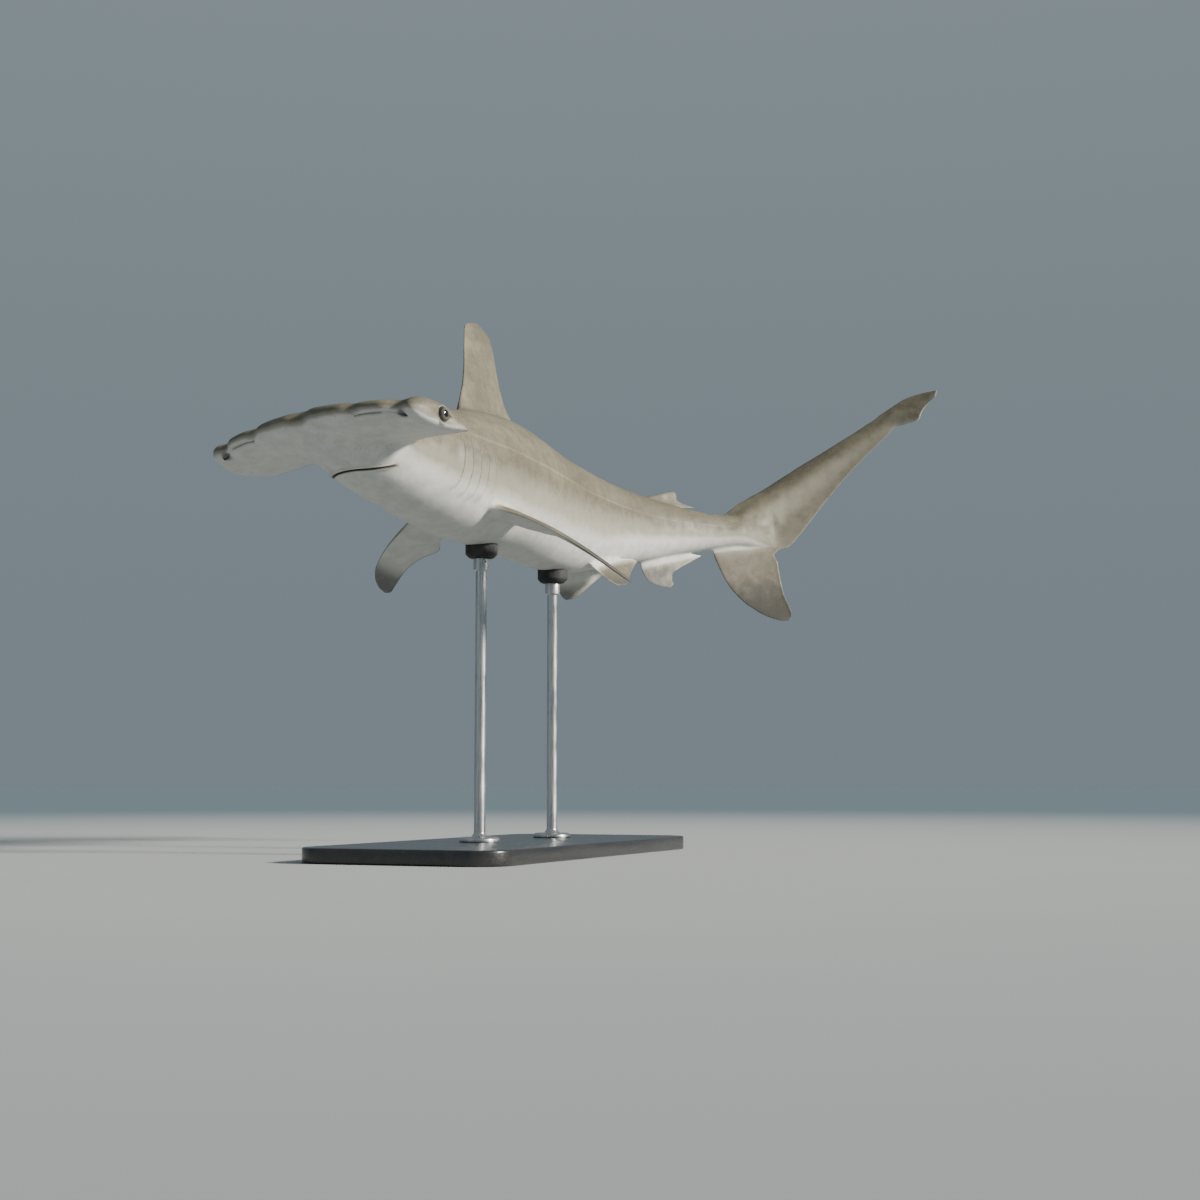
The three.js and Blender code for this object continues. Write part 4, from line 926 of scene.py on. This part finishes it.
def skin_shader():
    s = Shader("skin")
    rest = s.field("rest", vector=True)
    along = s.scaled(rest, (1, 0.35, 1))
    clouds = s.noise(along, 9, 4)
    mottle = s.noise(rest, 38, 4)
    grain = s.noise(rest, 260, 2)
    back = s.mix(s.ramp(clouds, 0.32, 0.68), *BACK_TONES)
    back = s.mix(s.ramp(mottle, 0.35, 0.7, 0, 0.5), back, MOTTLE_TONE)
    back = s.mix(s.ramp(grain, 0.5, 0.75, 0, 0.35), back, GRAIN_TONE)
    flank = s.mix(s.ramp(clouds, 0.3, 0.7), *FLANK_TONES)
    # The belly's own off-white, dimmed as painted shade under the body.
    belly = s.mix(s.ramp(mottle, 0.3, 0.7), *SHADED_BELLY_TONES)
    uneven = s.swing(clouds, 0.5)
    upward = s.math("ADD", s.field("upward"), uneven)
    upward = s.math("ADD", upward, s.swing(mottle, 0.22))
    color = s.mix(s.ramp(upward, -0.62, -0.34), belly, flank)
    color = s.mix(s.ramp(upward, -0.42, 0.12), color, back)
    color = s.mix(s.ramp(upward, 0.55, 1.0, 0, 0.3), color, RIDGE_TONE)
    # Dusky fin tips, with painted shade on the anal fin, pelvic fins and lower tail lobe.
    dusky_tips_and_shade = s.math("MULTIPLY", s.field("dusky_tips_and_shade"), s.ramp(mottle, 0.2, 0.6, 0.75, 1.0))
    color = s.mix(s.ramp(dusky_tips_and_shade, 0.1, 0.95, 0, 0.82), color, DUSKY_AND_SHADE_TONE)
    wander = s.swing(mottle, 0.006)
    level = s.math("ABSOLUTE", s.math("SUBTRACT", s.field("level"), wander))
    line = s.math("MULTIPLY", s.ramp(level, 0.0042, 0.0003), s.field("line"))
    line = s.math("MULTIPLY", line, s.ramp(clouds, 0.35, 0.65, 0.05, 0.22))
    color = s.mix(line, color, LINE_TONE)
    pores = s.ramp(s.cells(rest, 115), 0.16, 0.07)
    pores = s.math("MULTIPLY", pores, s.field("head"))
    color = s.mix(s.math("MULTIPLY", pores, 0.6), color, PORE_TONE)
    # Painted shade in the mouth line, nostrils and gill slits.
    color = s.mix(s.math("MULTIPLY", s.field("hollow_shade"), 0.88), color, HOLLOW_SHADE_TONE)
    s.set(Base_Color=color)
    s.set(Roughness=s.ramp(s.math("ADD", mottle, s.math("MULTIPLY", grain, 0.4)), 0.4, 0.95, 0.46, 0.68))
    denticles = s.cells(s.scaled(rest, (1, 0.6, 1)), 620, "SMOOTH_F1")
    wrinkles = s.noise(s.scaled(rest, (1, 0.5, 1)), 75, 4, 0.6)
    first = s.bump(wrinkles, 0.22, 0.0016)
    s.set(Normal=s.bump(denticles, 0.3, 0.0005, Normal=first))
    s.set(Specular_IOR_Level=0.32, Coat_Weight=0.04, Coat_Roughness=0.35)
    return s.material


def eye_shader():
    s = Shader("eye")
    angle, turn = s.field("angle"), s.field("turn", vector=True)
    streaks = s.noise(s.scaled(turn, (1, 1, 0.15)), 26, 3)
    iris = s.mix(s.ramp(streaks, 0.35, 0.65), (0.06, 0.05, 0.03), (0.135, 0.118, 0.078))
    rim = s.ramp(angle, 0.66, 0.78)
    iris = s.mix(s.ramp(angle, 0.5, 0.72, 0, 0.85), iris, (0.025, 0.022, 0.018))
    color = s.mix(rim, iris, (0.012, 0.012, 0.013))
    pupil = s.ramp(s.math("ADD", angle, s.swing(streaks, 0.03)), 0.44, 0.38)
    color = s.mix(pupil, color, (0.004, 0.004, 0.005))
    s.set(Base_Color=color)
    s.set(Roughness=0.12, Specular_IOR_Level=0.6, Coat_Weight=1.0, Coat_Roughness=0.02)
    return s.material


def lacquer_shader():
    s = Shader("stand_base")
    place = s.place()
    figure = s.noise(s.scaled(place, (9, 0.6, 9)), 6, 4)
    fine = s.noise(s.scaled(place, (60, 2, 60)), 5, 2)
    color = s.mix(s.ramp(figure, 0.35, 0.65), (0.012, 0.012, 0.013), (0.021, 0.02, 0.02))
    s.set(Base_Color=color)
    s.set(Roughness=s.ramp(fine, 0.3, 0.7, 0.26, 0.38))
    s.set(Normal=s.bump(fine, 0.08, 0.0003))
    s.set(Coat_Weight=0.35, Coat_Roughness=0.18)
    return s.material


def steel_shader():
    s = Shader("stand_rod")
    place = s.place()
    brushed = s.noise(s.scaled(place, (1, 1, 0.02)), 900, 3)
    soft = s.noise(place, 14, 3)
    s.set(Base_Color=s.mix(s.ramp(brushed, 0.3, 0.7), (0.42, 0.425, 0.43), (0.6, 0.605, 0.61)))
    s.set(Roughness=s.ramp(s.math("ADD", brushed, soft), 0.7, 1.3, 0.24, 0.42))
    s.set(Normal=s.bump(brushed, 0.12, 0.0002))
    s.set(Metallic=1.0)
    return s.material


def rubber_shader():
    s = Shader("stand_pad")
    place = s.place()
    grain = s.noise(place, 700, 3)
    dust = s.noise(place, 45, 3)
    s.set(Base_Color=s.mix(s.ramp(dust, 0.4, 0.75), (0.014, 0.014, 0.015), (0.04, 0.039, 0.038)))
    s.set(Roughness=s.ramp(grain, 0.3, 0.7, 0.7, 0.88))
    s.set(Normal=s.bump(grain, 0.3, 0.0003))
    return s.material


def dress(piece, material):
    piece.data.materials.clear()
    piece.data.materials.append(material)
    for polygon in piece.data.polygons:
        polygon.use_smooth = True


dress(skin, skin_shader())
flesh = [
    "head", "gill_region", "trunk_front", "trunk_rear", "tail_stem", "caudal_peduncle",
    "first_dorsal_fin", "second_dorsal_fin", "anal_fin", "pectoral_fin_left", "pectoral_fin_right",
    "pelvic_fin_left", "pelvic_fin_right", "caudal_fin_upper_lobe", "caudal_fin_lower_lobe",
]
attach(skin, "root")
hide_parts(*flesh)

eye_material = eye_shader()
for side, name in ((1, "left"), (-1, "right")):
    eye = eyeball(f"eyeball_{name}", side, EYE_RADIUS, EYE_BULGE)
    points, _ = mesh_arrays(eye.data)
    centre, out, back, up = eye_frame(side)
    arm = points - centre
    arm /= np.linalg.norm(arm, axis=1, keepdims=True)
    wide, tall = arm @ back, arm @ up
    store(eye.data, "angle", np.arctan2(np.hypot(wide * 1.12, tall), arm @ out))
    bearing = np.stack([wide, tall], axis=1) / np.maximum(np.hypot(wide, tall), 1e-6)[:, None]
    store(eye.data, "turn", np.column_stack([bearing, arm @ out]))
    dress(eye, eye_material)
    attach(eye, "root")
    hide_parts(f"eye_{name}")


# Display stand.
def turned_profile(name, profile, centre):
    turns = full_turn(TURNED_SEGMENTS)
    x, y = np.cos(turns), np.sin(turns)
    rings = [
        np.stack([centre[0] + r * x, centre[1] + r * y, np.full(TURNED_SEGMENTS, z)], axis=1)
        for r, z in profile
    ]
    return loft(name, rings)


def rounded(corners, radius):
    """Profile with its inner corners rounded."""
    corners = [np.array(c, float) for c in corners]
    out = [corners[0]]
    for before, here, after in zip(corners, corners[1:], corners[2:]):
        to_before, to_after = before - here, after - here
        cut = min(radius, np.linalg.norm(to_before) * 0.45, np.linalg.norm(to_after) * 0.45)
        start = here + to_before / np.linalg.norm(to_before) * cut
        end = here + to_after / np.linalg.norm(to_after) * cut
        for t in np.linspace(0, 1, 5):
            out.append((1 - t) ** 2 * start + 2 * t * (1 - t) * here + t * t * end)
    out.append(corners[-1])
    return out


def finish_piece(piece, material, node, smooth_angle=0.6):
    dress(piece, material)
    piece.data.set_sharp_from_angle(angle=smooth_angle)
    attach(piece, "root")
    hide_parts(node)


def rod_object(name, centre, foot, top):
    shoulder = foot + FLANGE_THICKNESS
    outline = [
        (AXIS_RADIUS, foot), (FLANGE_RADIUS, foot), (FLANGE_RADIUS, foot + FLANGE_THICKNESS * 0.6),
        (FLANGE_RADIUS - FLANGE_CHAMFER, shoulder), (ROD_RADIUS + FILLET_WIDTH, shoulder + 0.001),
        (ROD_RADIUS, shoulder + FILLET_RISE), (ROD_RADIUS, top - COLLAR_LENGTH),
        (COLLAR_RADIUS, top - COLLAR_LENGTH), (COLLAR_RADIUS, top), (AXIS_RADIUS, top),
    ]
    return turned_profile(f"rod_{name}", rounded(outline, ROD_ROUNDING), centre)


def pad_object(name, centre, bottom, top):
    outline = [
        (AXIS_RADIUS, bottom), (PAD_RADIUS - PAD_BEVEL, bottom), (PAD_RADIUS, bottom + PAD_BEVEL),
        (PAD_RADIUS, top), (AXIS_RADIUS, top),
    ]
    return turned_profile(f"pad_{name}", rounded(outline, PAD_ROUNDING), centre)


def base_object():
    """Plate with rounded corners and rims, from rings at rising heights, each with its inset."""
    width, length, thick = BASE_SIZE
    turns = np.linspace(0.2, math.pi / 2, 5)
    rim = [(BASE_BEVEL * (1 - math.cos(t)), BASE_BEVEL * (1 - math.sin(t))) for t in turns]
    levels = [(0, BASE_BEVEL), *rim, *[(thick - z, inset) for z, inset in reversed(rim)]]
    levels += [(thick, BASE_BEVEL), (thick, BASE_BEVEL + BASE_TOP_BORDER)]
    rings = []
    for z, inset in levels:
        radius = BASE_CORNER - min(inset, BASE_BEVEL)
        border = BASE_CORNER + max(0, inset - BASE_BEVEL)
        x, y = width / 2 - border, length / 2 - border
        ring = []
        for corner, (cx, cy) in enumerate(((x, y), (-x, y), (-x, -y), (x, -y))):
            for t in np.linspace(0, math.pi / 2, 17):
                angle = corner * math.pi / 2 + t
                ring.append((cx + radius * math.cos(angle), cy + radius * math.sin(angle), z))
        rings.append(ring)
    return loft("base", rings)


steel, rubber = steel_shader(), rubber_shader()
for name, station in ROD_STATIONS.items():
    centre = centre_at(np.array(station))
    depth = smooth_value(BODY_PROFILE, station, 3) * TOTAL_LENGTH
    pad_bottom = centre[2] - depth - PAD_THICKNESS
    rod = rod_object(name, centre, BASE_SIZE[2] + NODE_GAP, pad_bottom - NODE_GAP)
    finish_piece(rod, steel, f"stand_rod_{name}")
    pad = pad_object(name, centre, pad_bottom, centre[2] - depth * PAD_TOP_SHARE)
    finish_piece(pad, rubber, f"stand_pad_{name}")
finish_piece(base_object(), lacquer_shader(), "stand_base", 0.5)


# Camera, floor and light.
optics = bpy.data.cameras.new("camera")
optics.lens = CAMERA_LENS
optics.sensor_width = SENSOR
optics.sensor_fit = "HORIZONTAL"
optics.clip_end = 200
camera = bpy.data.objects.new("camera", optics)
camera.location = CAMERA_PLACE
camera.rotation_euler = (CAMERA_TILT, 0, CAMERA_TURN)
bpy.context.collection.objects.link(camera)
bpy.context.scene.camera = camera

corners = [(x * FLOOR_HALF, y * FLOOR_HALF, 0) for x, y in ((-1, -1), (1, -1), (1, 1), (-1, 1))]
floor = make_object("floor", corners, [(0, 1, 2, 3)])
ground = Shader("floor")
place = ground.place()
tone = ground.noise(place, 1.3, 3)
near = ground.mix(tone, (0.37, 0.385, 0.39), (0.4, 0.415, 0.42))
# Painted light: the floor is pale round the stand and darkens with distance into the backdrop's blue grey.
distance = ground.node("VectorMath")
distance.operation = "LENGTH"
ground.feed(distance.inputs[0], place)
far = ground.ramp(distance.outputs["Value"], 0.9, 7.0)
ground.set(Base_Color=ground.mix(far, near, (0.135, 0.18, 0.21)))
ground.set(Roughness=1.0, Specular_IOR_Level=0.0)
floor.data.materials.append(ground.material)

# Backdrop: dim blue grey at the horizon and below it, and lighter overhead.
world = bpy.data.worlds.new("world")
bpy.context.scene.world = world
world.use_nodes = True
nodes, links = world.node_tree.nodes, world.node_tree.links
direction = nodes.new("ShaderNodeTexCoord").outputs["Generated"]
split = nodes.new("ShaderNodeSeparateXYZ")
links.new(direction, split.inputs["Vector"])
sky = nodes.new("ShaderNodeValToRGB")
sky.color_ramp.interpolation = "EASE"
sky.color_ramp.elements[0].color = (0.185, 0.23, 0.258, 1)
sky.color_ramp.elements[1].color = (0.29, 0.34, 0.37, 1)
links.new(split.outputs["Z"], sky.inputs["Fac"])
links.new(sky.outputs["Color"], nodes["Background"].inputs["Color"])


def add_light(kind, name, place, target, power, color, size):
    data = bpy.data.lights.new(name, kind)
    data.energy = power
    data.color = color
    if kind == "SUN":
        data.angle = size
    else:
        data.shape = "DISK"
        data.size = size
    light = bpy.data.objects.new(name, data)
    light.location = place
    light.rotation_euler = (Vector(target) - Vector(place)).to_track_quat("-Z", "Y").to_euler()
    bpy.context.collection.objects.link(light)


for light in LIGHTS:
    add_light(*light)
